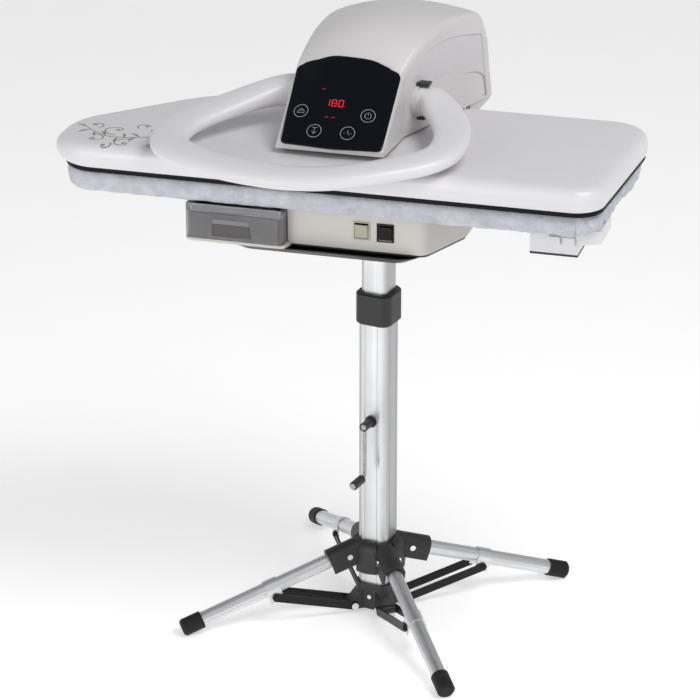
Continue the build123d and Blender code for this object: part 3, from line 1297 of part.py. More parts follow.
CRANK_ROD_AT = COLUMN_W / 2 + CRANK_OUT
BOSS_AT = COLUMN_W / 2 + BUSH_FLANGE + REST_GAP
BOSS_END = CRANK_ROD_AT + CRANK_ROD_D / 2 + GRIP_PIN_OUT
GRIP_AT = CRANK_ROD_AT + CRANK_BEND_R + GRIP_GAP
GRIP_END = GRIP_AT + GRIP_L
with BuildPart() as crank_shaft:
    with BuildSketch(face_plane(-GEAR_W / 2, CRANK_Z)):
        Circle(SHAFT_D / 2)
    extrude(amount=BOSS_END + GEAR_W / 2)
crank_shaft.part.label = "crank_shaft"
export_step(crank_shaft.part, "parts/crank_shaft.step")


def crank_point(distance, rise):
    """Point in the crank's upright plane, from its distance out and its height over the shaft."""
    spot = face_plane(distance, CRANK_Z + rise).origin
    return (spot.X, spot.Y, spot.Z)


with BuildPart() as crank_boss:
    with BuildSketch(face_plane(BOSS_AT, CRANK_Z)):
        Circle(CRANK_BOSS_R)
        Circle(SHAFT_D / 2, mode=Mode.SUBTRACT)
    extrude(amount=BOSS_END - BOSS_AT)
    with BuildSketch(Plane.XY.offset(CRANK_Z - CRANK_BOSS_R - OVERRUN)):
        with Locations(crank_point(CRANK_ROD_AT, 0)[:2]):
            Circle(CRANK_ROD_D / 2)
    extrude(amount=CRANK_BOSS_R + OVERRUN, mode=Mode.SUBTRACT)
crank_boss.part.label = "crank_boss"
export_step(crank_boss.part, "parts/crank_boss.step")

with BuildPart() as crank_arm:
    with BuildLine() as crank_path:
        FilletPolyline(
            crank_point(CRANK_ROD_AT, -SHAFT_D / 2 - REST_GAP),
            crank_point(CRANK_ROD_AT, -CRANK_REACH),
            crank_point(GRIP_END + REST_GAP, -CRANK_REACH),
            radius=CRANK_BEND_R,
        )
    with BuildSketch(Plane(origin=crank_path.line @ 0, z_dir=crank_path.line % 0)):
        Circle(CRANK_ROD_D / 2)
    sweep()
    with BuildSketch(face_plane(GRIP_END + REST_GAP, CRANK_Z - CRANK_REACH)):
        Circle(CRANK_ROD_D / 2 + PIN_HEAD)
    extrude(amount=GRIP_PIN_OUT)
crank_arm.part.label = "crank_arm"
export_step(crank_arm.part, "parts/crank_arm.step")

with BuildPart() as crank_grip:
    with BuildSketch(face_plane(GRIP_AT, CRANK_Z - CRANK_REACH)):
        Circle(GRIP_R)
    extrude(amount=GRIP_L)
    chamfer(crank_grip.edges().filter_by(GeomType.CIRCLE), length=GRIP_EDGE)
    with BuildSketch(face_plane(GRIP_AT, CRANK_Z - CRANK_REACH)):
        Circle(CRANK_ROD_D / 2 + PIN_FIT)
    extrude(amount=GRIP_L, mode=Mode.SUBTRACT)
crank_grip.part.label = "crank_grip"
export_step(crank_grip.part, "parts/crank_grip.step")

# Foot collar: clamped round the column's foot, with an ear for each strut
EAR_HALF = STRUT_SIDE - SIDE_PLAY
with BuildPart() as foot_collar:
    with BuildSketch(stand_plane(FOOT_COLLAR_Z)):
        RectangleRounded(FOOT_COLLAR_W, FOOT_COLLAR_W, FOOT_COLLAR_R)
    extrude(amount=FOOT_COLLAR_TOP_Z - FOOT_COLLAR_Z)
    for angle in LEG_ANGLES:
        with BuildSketch(leg_plane(angle)):
            with Locations((STRUT_INNER_R, STRUT_INNER_Z)):
                Circle(EAR_REACH - SIDE_PLAY)
            with BuildLine():
                Polyline(
                    (STRUT_INNER_R, STRUT_INNER_Z - EAR_REACH + SIDE_PLAY),
                    (STRUT_INNER_R, STRUT_INNER_Z + EAR_REACH - SIDE_PLAY),
                    (COLUMN_W / 2, FOOT_COLLAR_TOP_Z - EAR_REACH),
                    (COLUMN_W / 2, FOOT_COLLAR_Z),
                    close=True,
                )
            make_face()
        extrude(amount=EAR_HALF, both=True)
        with BuildSketch(leg_plane(angle)):
            with Locations((STRUT_INNER_R, STRUT_INNER_Z)):
                Circle(HUB_PIN_D / 2)
        extrude(amount=EAR_HALF, both=True, mode=Mode.SUBTRACT)
    with BuildSketch(stand_plane(COLUMN_Z)):
        RectangleRounded(COLUMN_W, COLUMN_W, COLUMN_R)
    extrude(amount=FOOT_COLLAR_TOP_Z - COLUMN_Z, mode=Mode.SUBTRACT)
foot_collar.part.label = "foot_collar"
export_step(foot_collar.part, "parts/foot_collar.step")

# One rivet through each ear, and one in the front of the collar
RIVET_SIDE = STRUT_SIDE + STRUT_T + REST_GAP
with BuildPart() as collar_rivets:
    for angle in LEG_ANGLES:
        with BuildSketch(leg_plane(angle)):
            with Locations((STRUT_INNER_R, STRUT_INNER_Z)):
                Circle(HUB_PIN_D / 2)
        extrude(amount=RIVET_SIDE, both=True)
        ear_plane = leg_plane(angle)
        with BuildSketch(ear_plane.offset(RIVET_SIDE), ear_plane.offset(-RIVET_SIDE - PIN_HEAD)):
            with Locations((STRUT_INNER_R, STRUT_INNER_Z)):
                Circle(HUB_PIN_D / 2 + HEAD_RIM)
        extrude(amount=PIN_HEAD)
    with BuildSketch(face_plane(FOOT_COLLAR_W / 2, (FOOT_COLLAR_Z + FOOT_COLLAR_TOP_Z) / 2)):
        Circle(HUB_PIN_D / 2)
    extrude(amount=PIN_HEAD)
collar_rivets.part.label = "collar_rivets"
export_step(collar_rivets.part, "parts/collar_rivets.step")

# Hub: a sleeve that slides on the column, with a hood over the head of each leg
HUB_TOP_Z = HUB_PIVOT_Z + HUB_RISE
HUB_Z = HUB_PIVOT_Z - HUB_DROP
HUB_HOOD_R = HUB_BORE_R + HUB_CHEEK
HUB_ARM_START = -(HUB_PIVOT_R - COLUMN_W / 2) / cos(SLOPE)
HUB_ARM_END = (HUB_ARM_R - HUB_PIVOT_R) / cos(SLOPE)
SLEEVE_W = COLUMN_W + 2 * SLIDE_GAP
HUB_SLEEVE_W = SLEEVE_W + 2 * HUB_SLEEVE
HUB_SLEEVE_R = COLUMN_R + SLIDE_GAP + HUB_SLEEVE
HUB_NECK_R = (HUB_SLEEVE_W / 2 - HUB_SLEEVE_R) / cos(pi / 4) + HUB_SLEEVE_R + REST_GAP
with BuildPart() as hub:
    with BuildSketch(stand_plane(HUB_Z)):
        Circle(HUB_CUP_R)
    extrude(amount=HUB_CUP_H)
    chamfer(hub.edges().group_by(Axis.Z)[-1], length=HUB_CHEEK / 2)
    with BuildSketch(stand_plane(HUB_Z)):
        Circle(HUB_CUP_R - HUB_CHEEK)
    extrude(amount=HUB_CUP_H - HUB_CHEEK, mode=Mode.SUBTRACT)
    for angle in LEG_ANGLES:
        with BuildSketch(leg_section(angle, HUB_ARM_START)):
            Circle(HUB_HOOD_R)
            Rectangle(2 * HUB_HOOD_R, HUB_HOOD_R, align=(Align.CENTER, Align.MIN))
        extrude(amount=HUB_ARM_END - HUB_ARM_START)
    for angle in LEG_ANGLES:
        with BuildSketch(leg_section(angle, -HUB_BORE_R - REST_GAP)):
            Circle(HUB_BORE_R)
            Rectangle(2 * HUB_BORE_R, 2 * HUB_HOOD_R, align=(Align.CENTER, Align.MIN))
        extrude(amount=HUB_ARM_END + HUB_BORE_R + OVERRUN, mode=Mode.SUBTRACT)
        with BuildSketch(leg_plane(angle)):
            with Locations((HUB_PIVOT_R, HUB_PIVOT_Z)):
                Circle(HUB_PIN_D / 2)
        extrude(amount=HUB_HOOD_R, both=True, mode=Mode.SUBTRACT)
    with BuildSketch(stand_plane(HUB_Z)):
        RectangleRounded(HUB_SLEEVE_W, HUB_SLEEVE_W, HUB_SLEEVE_R)
    extrude(amount=HUB_TOP_Z - HUB_Z)
    with BuildSketch(stand_plane(HUB_Z - OVERRUN)):
        RectangleRounded(SLEEVE_W, SLEEVE_W, COLUMN_R + SLIDE_GAP)
    extrude(amount=HUB_TOP_Z - HUB_Z + 2 * OVERRUN, mode=Mode.SUBTRACT)
    split(bisect_by=Plane.XY.offset(HUB_TOP_Z), keep=Keep.BOTTOM)
    split(bisect_by=Plane.XY.offset(HUB_Z), keep=Keep.TOP)
    # Each hood is a moulding of its own that seats on the sleeve's corner
    for angle in LEG_ANGLES:
        with BuildSketch(leg_plane(angle)):
            with Locations((HUB_NECK_R, (HUB_TOP_Z + HUB_Z) / 2)):
                Rectangle(REST_GAP, HUB_TOP_Z - HUB_Z + 2 * OVERRUN)
        extrude(amount=HUB_CUP_R, both=True, mode=Mode.SUBTRACT)
hub.part.label = "hub"
export_step(hub.part, "parts/hub.step")

with BuildPart() as hub_rivets:
    for angle in LEG_ANGLES:
        with BuildSketch(leg_plane(angle)):
            with Locations((HUB_PIVOT_R, HUB_PIVOT_Z)):
                Circle(HUB_PIN_D / 2)
        extrude(amount=HUB_HOOD_R, both=True)
        hood_plane = leg_plane(angle)
        with BuildSketch(hood_plane.offset(HUB_HOOD_R), hood_plane.offset(-HUB_HOOD_R - PIN_HEAD)):
            with Locations((HUB_PIVOT_R, HUB_PIVOT_Z)):
                Circle(HUB_PIN_D / 2 + HEAD_RIM / 2)
        extrude(amount=PIN_HEAD)
hub_rivets.part.label = "hub_rivets"
export_step(hub_rivets.part, "parts/hub_rivets.step")


def leg_tube(angle):
    """Fluted tube of one leg, with the saddle that its strut is hung from as a second solid."""
    with BuildPart() as tube:
        with BuildSketch(leg_section(angle, -LEG_HEEL)):
            Circle(LEG_D / 2)
            with PolarLocations(LEG_D / 2, LEG_FLUTES):
                Rectangle(2 * FLUTE_DEEP, FLUTE_W, mode=Mode.SUBTRACT)
            Circle(LEG_D / 2 - LEG_WALL, mode=Mode.SUBTRACT)
        extrude(amount=LEG_HEEL + LEG_LENGTH - LEG_END_IN)
        with BuildSketch(leg_plane(angle)):
            with Locations((HUB_PIVOT_R, HUB_PIVOT_Z)):
                Circle(HUB_PIN_D / 2 + PIN_FIT)
        extrude(amount=LEG_D, both=True, mode=Mode.SUBTRACT)
        with BuildSketch(leg_section(angle, (STRUT_OUTER_R - HUB_PIVOT_R) / cos(SLOPE) - SADDLE_L / 2)):
            Circle(SADDLE_HALF)
            Rectangle(2 * SADDLE_HALF, STRUT_DROP + SADDLE_FOOT, align=(Align.CENTER, Align.MIN))
            Circle(LEG_D / 2 + PIN_FIT, mode=Mode.SUBTRACT)
            Rectangle(
                LEG_D + 2 * PIN_FIT,
                STRUT_DROP + SADDLE_FOOT,
                align=(Align.CENTER, Align.MIN),
                mode=Mode.SUBTRACT,
            )
        extrude(amount=SADDLE_L)
    return tube.part


def foot_cap(angle):
    """Rounded cap on the outer end of one leg, cut flat where it stands on the floor."""
    with BuildPart() as cap:
        with BuildSketch(leg_section(angle, LEG_LENGTH - CAP_L)):
            Circle(CAP_D / 2)
        extrude(amount=CAP_L)
        chamfer(cap.edges().sort_by(Axis.Z)[0], length=CAP_EDGE)
        with BuildSketch(leg_section(angle, LEG_LENGTH - CAP_L)):
            Circle(LEG_D / 2)
        extrude(amount=CAP_L - LEG_END_IN, mode=Mode.SUBTRACT)
        split(bisect_by=Plane.XY, keep=Keep.TOP)
    return cap.part


def strut(angle):
    """Pair of flat bars astride one leg; each ends in a rivet stub at the leg's saddle."""
    inner = (STRUT_INNER_R, STRUT_INNER_Z)
    outer = (STRUT_PIN_R, STRUT_PIN_Z)
    middle = ((inner[0] + outer[0]) / 2, (inner[1] + outer[1]) / 2)
    with BuildPart() as bars:
        with BuildSketch(
            leg_plane(angle).offset(STRUT_SIDE),
            leg_plane(angle).offset(-STRUT_SIDE - STRUT_T),
        ):
            SlotCenterPoint(middle, outer, STRUT_W)
            with Locations(inner):
                Circle(HUB_PIN_D / 2 + PIN_FIT, mode=Mode.SUBTRACT)
        extrude(amount=STRUT_T)
        with BuildSketch(
            leg_plane(angle).offset(STRUT_SIDE + STRUT_T),
            leg_plane(angle).offset(-STRUT_SIDE - STRUT_T - PIN_HEAD),
        ):
            with Locations(outer):
                Circle(HUB_PIN_D / 2)
        extrude(amount=PIN_HEAD)
    return bars.part


# Four legs, each with its foot cap and its pair of struts
for number, leg_angle in enumerate(LEG_ANGLES, start=1):
    with BuildPart() as leg:
        add(leg_tube(leg_angle))
    leg.part.label = f"leg_tube_{number}"
    export_step(leg.part, f"parts/leg_tube_{number}.step")

    with BuildPart() as foot:
        add(foot_cap(leg_angle))
    foot.part.label = f"foot_cap_{number}"
    export_step(foot.part, f"parts/foot_cap_{number}.step")

    with BuildPart() as brace:
        add(strut(leg_angle))
    brace.part.label = f"strut_{number}"
    export_step(brace.part, f"parts/strut_{number}.step")
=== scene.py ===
"""Steam ironing press on its folding stand: finishes, soft pad, printed details, camera and light.

Each sub-assembly is a class that dresses the model's own pieces and adds what the solids leave
out. Its sizes are millimetres and degrees; MM turns them into the metres of the model's frame.
"""

import json
import logging
import math
from collections.abc import Sequence
from dataclasses import dataclass
from enum import Enum

import bmesh
import bpy
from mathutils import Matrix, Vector, noise
from mathutils.bvhtree import BVHTree

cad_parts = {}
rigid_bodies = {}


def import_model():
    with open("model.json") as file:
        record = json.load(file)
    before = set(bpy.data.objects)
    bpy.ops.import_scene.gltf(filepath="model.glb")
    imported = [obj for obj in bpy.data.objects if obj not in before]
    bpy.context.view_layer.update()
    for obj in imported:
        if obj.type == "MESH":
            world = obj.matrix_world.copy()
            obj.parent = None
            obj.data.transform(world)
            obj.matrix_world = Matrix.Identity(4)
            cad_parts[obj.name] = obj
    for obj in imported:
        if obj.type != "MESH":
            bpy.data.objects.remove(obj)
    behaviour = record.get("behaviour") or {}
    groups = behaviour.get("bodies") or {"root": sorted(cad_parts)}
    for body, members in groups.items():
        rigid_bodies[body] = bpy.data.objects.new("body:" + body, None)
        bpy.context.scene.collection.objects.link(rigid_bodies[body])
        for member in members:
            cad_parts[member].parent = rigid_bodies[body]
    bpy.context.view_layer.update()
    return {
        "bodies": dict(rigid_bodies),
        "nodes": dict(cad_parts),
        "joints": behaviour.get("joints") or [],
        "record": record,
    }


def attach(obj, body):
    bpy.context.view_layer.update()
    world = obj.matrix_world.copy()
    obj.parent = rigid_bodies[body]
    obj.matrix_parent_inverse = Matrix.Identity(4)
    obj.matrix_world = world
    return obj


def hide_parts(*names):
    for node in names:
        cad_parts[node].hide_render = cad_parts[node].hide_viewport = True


MM = 0.001
CREASE = math.radians(42)  # edges steeper than this are shaded sharp
BEVEL_FROM = math.radians(30)  # edges steeper than this are rounded
ROW_STEPS = 3  # parts of each gap between a skin's rows
LINE_STEPS = 8  # parts of each gap between a line's stations
LOG = logging.getLogger("press")

Colour = tuple[float, float, float]
Point2 = tuple[float, float]
Point3 = tuple[float, float, float]
Rows = Sequence[tuple[float, ...]]


# Shader tools


@dataclass(frozen=True)
class Signal:
    """A socket of a shader that sums and products can be written on."""

    shader: "Shader"
    socket: bpy.types.NodeSocket | None

    def maths(self, operation: str, *terms: "Signal | float") -> "Signal":
        """Adds one Math node.

        Args:
            operation: The Math node's operation.
            terms: Its values, in order.

        Returns:
            The node's result.
        """
        return self.shader.node("ShaderNodeMath", {"operation": operation}, dict(enumerate(terms)))

    def __add__(self, other: "Signal | float") -> "Signal":
        """Sum of two values."""
        return self.maths("ADD", self, other)

    def __radd__(self, other: float) -> "Signal":
        """Sum with a number on the left."""
        return self.maths("ADD", other, self)

    def __sub__(self, other: "Signal | float") -> "Signal":
        """Difference of two values."""
        return self.maths("SUBTRACT", self, other)

    def __rsub__(self, other: float) -> "Signal":
        """Number less this value."""
        return self.maths("SUBTRACT", other, self)

    def __mul__(self, other: "Signal | float") -> "Signal":
        """Product of two values."""
        return self.maths("MULTIPLY", self, other)

    def between(self, low: float, high: float) -> "Signal":
        """Value spread over a range and held inside 0 to 1.

        Args:
            low: Value that becomes 0.
            high: Value that becomes 1.

        Returns:
            The spread value.
        """
        return self.shader.node("ShaderNodeMapRange", {"clamp": True}, {0: self, 1: low, 2: high})


class Shader:
    """Node tree of one material or of the surround."""

    def __init__(self, holder: bpy.types.Material | bpy.types.World) -> None:
        """Empties a tree.

        Args:
            holder: The material or world that the tree belongs to.
        """
        self.holder = holder
        self.holder.use_nodes = True
        self.tree = self.holder.node_tree
        self.tree.nodes.clear()

    def node(
        self,
        kind: str,
        settings: dict[str, object] | None = None,
        sockets: dict[int | str, object] | None = None,
        out: int | str = 0,
    ) -> Signal:
        """Adds a node: its settings first, then the values or links of its sockets.

        Args:
            kind: The node's type.
            settings: Properties of the node; "stops" are a ramp's (place, colour) pairs.
            sockets: Value or signal of each input.
            out: The output that is wanted.

        Returns:
            The wanted output.
        """
        made = self.tree.nodes.new(kind)
        for name, value in (settings or {}).items():
            if name == "stops":
                self.set_stops(made.color_ramp, value)
            else:
                setattr(made, name, value)
        for name, value in (sockets or {}).items():
            if isinstance(value, Signal):
                self.tree.links.new(value.socket, made.inputs[name])
            else:
                made.inputs[name].default_value = value
        return Signal(self, made.outputs[out] if made.outputs else None)

    @staticmethod
    def set_stops(ramp: bpy.types.ColorRamp, stops: list[tuple[float, Colour]]) -> None:
        """Gives a ramp its stops."""
        while len(ramp.elements) < len(stops):
            ramp.elements.new(1.0)
        for element, (place, colour) in zip(ramp.elements, stops):
            element.position = place
            element.color = (*colour, 1.0)

    def place(self) -> Signal:
        """Position on the piece, in metres, which rides with it."""
        return self.node("ShaderNodeTexCoord", out="Object")

    def stretched(self, along: Vector, keep: float) -> Signal:
        """Position with one direction drawn out, for streaks.

        Args:
            along: Direction of the streaks.
            keep: Share of that direction that is kept.

        Returns:
            The changed position.
        """
        here = self.place()
        reach = self.node("ShaderNodeVectorMath", {"operation": "DOT_PRODUCT"}, {0: here, 1: along}, "Value")
        sockets = {0: along * (keep - 1), "Scale": reach}
        drop = self.node("ShaderNodeVectorMath", {"operation": "SCALE"}, sockets)
        return self.node("ShaderNodeVectorMath", {"operation": "ADD"}, {0: here, 1: drop})

    def noise(
        self, scale: float, detail: float = 3.0, place: Signal | None = None, rough: float = 0.55
    ) -> Signal:
        """Fractal noise of a given scale, from 0 to 1.

        Args:
            scale: Features per metre.
            detail: Octaves.
            place: Position, where it isn't the piece's own.
            rough: Weight of the finer octaves.

        Returns:
            The noise value.
        """
        sockets = {"Vector": place or self.place(), "Scale": scale, "Detail": detail, "Roughness": rough}
        return self.node("ShaderNodeTexNoise", None, sockets)

    def tint(self, factor: Signal | float, low: Colour, high: Colour) -> Signal:
        """Mix of two colours."""
        return self.mix(factor, (*low, 1.0), (*high, 1.0))

    def tint_over(self, factor: Signal | float, under: Signal, over: Colour) -> Signal:
        """Colour laid over a colour that already varies."""
        return self.mix(factor, under, (*over, 1.0))

    def mix(self, factor: Signal | float, low: object, high: object) -> Signal:
        """Adds a colour Mix node between two colours or signals."""
        return self.node("ShaderNodeMix", {"data_type": "RGBA"}, {0: factor, 6: low, 7: high}, out=2)

    def rounded(self, radius: float) -> Signal:
        """Normal of softly rounded edges."""
        return self.node("ShaderNodeBevel", {"samples": 4}, {"Radius": radius})

    def edges(self, radius: float) -> Signal:
        """Mask of the piece's sharp edges, from 0 on flats to 1 on an edge."""
        true_normal = self.node("ShaderNodeNewGeometry", out="True Normal")
        sockets = {0: self.rounded(radius), 1: true_normal}
        same = self.node("ShaderNodeVectorMath", {"operation": "DOT_PRODUCT"}, sockets, "Value")
        return (1.0 - same).between(0.02, 0.25)

    def bump(self, height: Signal, depth: float, under: Signal | None = None) -> Signal:
        """Normal with a height laid on it.

        Args:
            height: Height from 0 to 1.
            depth: Metres between 0 and 1.
            under: Normal that the height is laid on.

        Returns:
            The new normal.
        """
        sockets = {"Strength": 1.0, "Distance": depth, "Height": height}
        if under:
            sockets["Normal"] = under
        return self.node("ShaderNodeBump", None, sockets)

    def surface(self, **inputs: object) -> bpy.types.Material:
        """Ends the tree with a Principled surface.

        Args:
            inputs: Socket names with underscores for spaces, and their values or signals.

        Returns:
            The finished material.
        """
        sockets = {name.replace("_", " "): value for name, value in inputs.items()}
        surface = self.node("ShaderNodeBsdfPrincipled", None, sockets)
        self.node("ShaderNodeOutputMaterial", None, {"Surface": surface})
        return self.holder


# Finishes


def scaled(colour: Colour, share: float) -> Colour:
    """A colour times a number, held below white."""
    return tuple(min(1.0, part * share) for part in colour)


@dataclass(frozen=True)
class Moulding:
    """Injection-moulded or painted skin: fine spark texture, faint mottling, and edges lightened partly as
    rubbed wear and partly as painted highlight.
    """

    name: str
    colour: Colour
    roughness: float = 0.4
    mottle: float = 0.03
    grain: float = 1600.0
    grain_depth: float = 0.02 * MM
    edge: float = 0.5 * MM
    # Share of edge lightening: partly rubbed wear, partly painted highlight.
    rub: float = 0.1
    coat: float = 0.0
    specular: float = 0.5
    glow: float = 0.0

    def material(self) -> bpy.types.Material:
        """Builds the material."""
        shader = Shader(bpy.data.materials.new(self.name))
        broad = shader.noise(9.0, 4.0)
        fine = shader.noise(self.grain, 2.0)
        wear_and_highlight = shader.edges(2.4 * self.edge) * shader.noise(60.0, 4.0).between(0.35, 0.7)
        low, high = (scaled(self.colour, 1.0 + mottle) for mottle in (-self.mottle, self.mottle))
        base = shader.tint(broad.between(0.3, 0.7), low, high)
        # Sharp edges lightened towards a paler copy of the colour: rubbed wear on the dark plastics, painted
        # highlight on the pale ones.
        colour = shader.tint_over(wear_and_highlight * self.rub, base, scaled(self.colour, 1.9))
        smudge = shader.noise(28.0, 5.0).between(0.4, 0.75)
        roughness = self.roughness + smudge * 0.09 + fine * 0.05 - wear_and_highlight * 0.08
        normal = shader.bump(fine, self.grain_depth, shader.rounded(self.edge))
        light = {"Emission_Color": colour, "Emission_Strength": self.glow} if self.glow else {}
        return shader.surface(
            Base_Color=colour,
            Roughness=roughness,
            Normal=normal,
            Coat_Weight=self.coat,
            Specular_IOR_Level=self.specular,
            **light,
        )


@dataclass(frozen=True)
class DrawnMetal:
    """Extruded or turned metal with fine streaks along its length, and optional painted shade on faces that
    look sideways.
    """

    name: str
    colour: Colour
    along: Point3 = (0.0, 0.0, 1.0)
    roughness: float = 0.3
    streaks: float = 900.0
    streak_depth: float = 0.015 * MM
    edge: float = 0.4 * MM
    tarnish: float = 0.18
    bands: float = 130.0
    # Painted shade: how much darker the faces that look sideways are.
    painted_side_shade: float = 0.0

    def material(self) -> bpy.types.Material:
        """Builds the material."""
        shader = Shader(bpy.data.materials.new(self.name))
        drawn = shader.stretched(Vector(self.along), 0.012)
        streak = shader.noise(self.streaks, 3.0, drawn)
        band = shader.noise(self.bands, 2.0, drawn)
        cloud = shader.noise(14.0, 5.0).between(0.35, 0.75)
        dull = scaled(self.colour, 1.0 - self.tarnish)
        colour = shader.tint(cloud * 0.4 + band.between(0.35, 0.65) * 0.6, self.colour, dull)
        # Painted shade: faces turned towards +x, and less so towards -x, are mixed to a darker grey that
        # stands in for the shade on the column's sides.
        if self.painted_side_shade:
            normal = shader.node("ShaderNodeNewGeometry", out="Normal")
            sideways = shader.node("ShaderNodeSeparateXYZ", None, {0: normal}, "X")
            side_shade_colour = scaled(self.colour, 1.0 - self.painted_side_shade)
            turned = sideways.between(0.25, 0.9) + (0.0 - sideways).between(0.3, 0.7) * 0.7
            colour = shader.tint_over(turned, colour, side_shade_colour)
        roughness = self.roughness + streak * 0.14 + cloud * 0.1
        normal = shader.bump(streak, self.streak_depth, shader.rounded(self.edge))
        return shader.surface(Base_Color=colour, Metallic=1.0, Roughness=roughness, Normal=normal)


@dataclass(frozen=True)
class Cloth:
    """Brushed cotton cover: nap, soft creases and a faint sheen."""

    name: str
    colour: Colour
    shadow: Colour

    def material(self) -> bpy.types.Material:
        """Builds the material."""
        shader = Shader(bpy.data.materials.new(self.name))
        cloud = shader.noise(38.0, 8.0, rough=0.68)
        crease = shader.noise(85.0, 7.0, rough=0.65)
        nap = shader.noise(900.0, 4.0)
        thread = shader.node("ShaderNodeTexWave", {"wave_type": "BANDS", "bands_direction": "DIAGONAL"},
                             {"Vector": shader.place(), "Scale": 420.0, "Distortion": 1.5}, "Fac")
        base = shader.tint(cloud.between(0.3, 0.72), self.shadow, self.colour)
        colour = shader.tint_over(nap.between(0.45, 0.8) * 0.35, base, (0.8, 0.8, 0.86))
        under = shader.bump(crease, 2.6 * MM)
        normal = shader.bump(nap * 0.7 + thread * 0.3, 0.25 * MM, under)
        return shader.surface(
            Base_Color=colour,
            Roughness=0.86 + nap * 0.1,
            Normal=normal,
            Sheen_Weight=0.35,
            Sheen_Roughness=0.4,
        )


@dataclass(frozen=True)
class SmokedPlastic:
    """Tinted see-through plastic with a polished skin."""

    name: str
    tint: Colour
    clear: float = 0.92

    def material(self) -> bpy.types.Material:
        """Builds the material."""
        shader = Shader(bpy.data.materials.new(self.name))
        cloud = shader.noise(18.0, 4.0)
        colour = shader.tint(cloud, self.tint, scaled(self.tint, 0.86))
        return shader.surface(
            Base_Color=colour,
            Roughness=0.1 + cloud * 0.08,
            Transmission_Weight=self.clear,
            IOR=1.36,
            Normal=shader.bump(shader.noise(40.0, 2.0), 0.05 * MM, shader.rounded(0.7 * MM)),
        )


@dataclass(frozen=True)
class Glass:
    """Black touch glass, printed from behind."""

    name: str
    colour: Colour

    def material(self) -> bpy.types.Material:
        """Builds the material."""
        shader = Shader(bpy.data.materials.new(self.name))
        smudge = shader.noise(24.0, 5.0).between(0.45, 0.8)
        colour = shader.tint(smudge, self.colour, scaled(self.colour, 1.5))
        return shader.surface(
            Base_Color=colour,
            Roughness=0.09 + smudge * 0.08,
            Specular_IOR_Level=0.35,
            Normal=shader.rounded(0.8 * MM),
        )


@dataclass(frozen=True)
class Ink:
    """Printed ink, or a lit display segment where it glows."""

    name: str
    colour: Colour
    glow: float = 0.0

    def material(self) -> bpy.types.Material:
        """Builds the material."""
        shader = Shader(bpy.data.materials.new(self.name))
        thin = shader.noise(700.0, 3.0).between(0.3, 0.8)
        colour = shader.tint(thin, self.colour, scaled(self.colour, 0.8))
        return shader.surface(
            Base_Color=colour,
            Roughness=0.45 + thin * 0.1,
            Emission_Color=colour,
            Emission_Strength=self.glow,
        )


@dataclass(frozen=True)
class Lens:
    """Tinted rocker lens, lit from behind."""

    name: str
    colour: Colour
    glow: float

    def material(self) -> bpy.types.Material:
        """Builds the material."""
        shader = Shader(bpy.data.materials.new(self.name))
        cloud = shader.noise(120.0, 3.0)
        colour = shader.tint(cloud, self.colour, scaled(self.colour, 0.8))
        return shader.surface(
            Base_Color=colour,
            Roughness=0.18 + cloud * 0.08,
            Emission_Color=colour,
            Emission_Strength=self.glow,
            Coat_Weight=0.4,
            Normal=shader.rounded(0.6 * MM),
        )


@dataclass(frozen=True)
class Wool:
    """Pressed mineral wool or bare circuit board: speckled and matt."""

    name: str
    colour: Colour
    speck: Colour
    scale: float

    def material(self) -> bpy.types.Material:
        """Builds the material."""
        shader = Shader(bpy.data.materials.new(self.name))
        speck = shader.node("ShaderNodeTexVoronoi", None, {"Vector": shader.place(), "Scale": self.scale})
        colour = shader.tint(speck.between(0.1, 0.6), self.speck, self.colour)
        normal = shader.bump(shader.noise(self.scale * 2.0, 3.0), 0.3 * MM)
        return shader.surface(Base_Color=colour, Roughness=0.7 + speck * 0.2, Normal=normal)


RECORD_FINISHES = (
    # The column gets painted shade on its sideways faces.
    DrawnMetal(
        "column_aluminium", (0.84, 0.845, 0.85), roughness=0.24, tarnish=0.32, bands=75.0, painted_side_shade=0.48,
    ),
    DrawnMetal("leg_aluminium", (0.82, 0.825, 0.83), roughness=0.27, tarnish=0.26),
    DrawnMetal("bare_steel", (0.48, 0.48, 0.49), (1.0, 0.0, 0.0), 0.38, tarnish=0.3),
    DrawnMetal("bright_rivet", (0.84, 0.84, 0.83), roughness=0.16, tarnish=0.1),
    Moulding("black_plastic", (0.020, 0.020, 0.021), 0.42, 0.15, rub=0.12, grain_depth=0.03 * MM),
    Moulding("black_gloss", (0.005, 0.004, 0.005), 0.24, 0.1, rub=0.05, specular=0.22),
    Moulding("black_metal", (0.006, 0.006, 0.007), 0.34, 0.12, rub=0.15, specular=0.3),
    Moulding("black_rubber", (0.010, 0.010, 0.010), 0.55, 0.2, grain=900.0, rub=0.12, specular=0.3),
    Moulding("cream_plastic", (0.60, 0.575, 0.545), 0.46, 0.02, rub=0.08),
    Moulding("white_plastic", (0.71, 0.70, 0.71), 0.34, 0.015, rub=0.05, coat=0.15),
    Moulding("head_plastic", (0.60, 0.588, 0.582), 0.38, 0.02, rub=0.1, coat=0.1),
    # The side cover's edges get a strong painted highlight.
    Moulding("side_plastic", (0.60, 0.582, 0.60), 0.42, 0.015, edge=0.9 * MM, rub=0.45),
    Glass("panel_glass", (0.0012, 0.0018, 0.0042)),
    Lens("green_lens", (0.40, 0.41, 0.30), 0.05),
    SmokedPlastic("tank_smoke", (0.68, 0.67, 0.68), 0.86),
    SmokedPlastic("tank_rim_plastic", (0.84, 0.84, 0.87), 0.8),
    Wool("circuit_board", (0.02, 0.12, 0.05), (0.30, 0.26, 0.12), 260.0),
    Cloth("pad_cloth", (0.60, 0.605, 0.655), (0.40, 0.405, 0.455)),
    Moulding("sole_metal", (0.005, 0.005, 0.007), 0.5, 0.1, rub=0.05, specular=0.15),
    Wool("insulation_wool", (0.62, 0.56, 0.42), (0.45, 0.40, 0.30), 300.0),
)
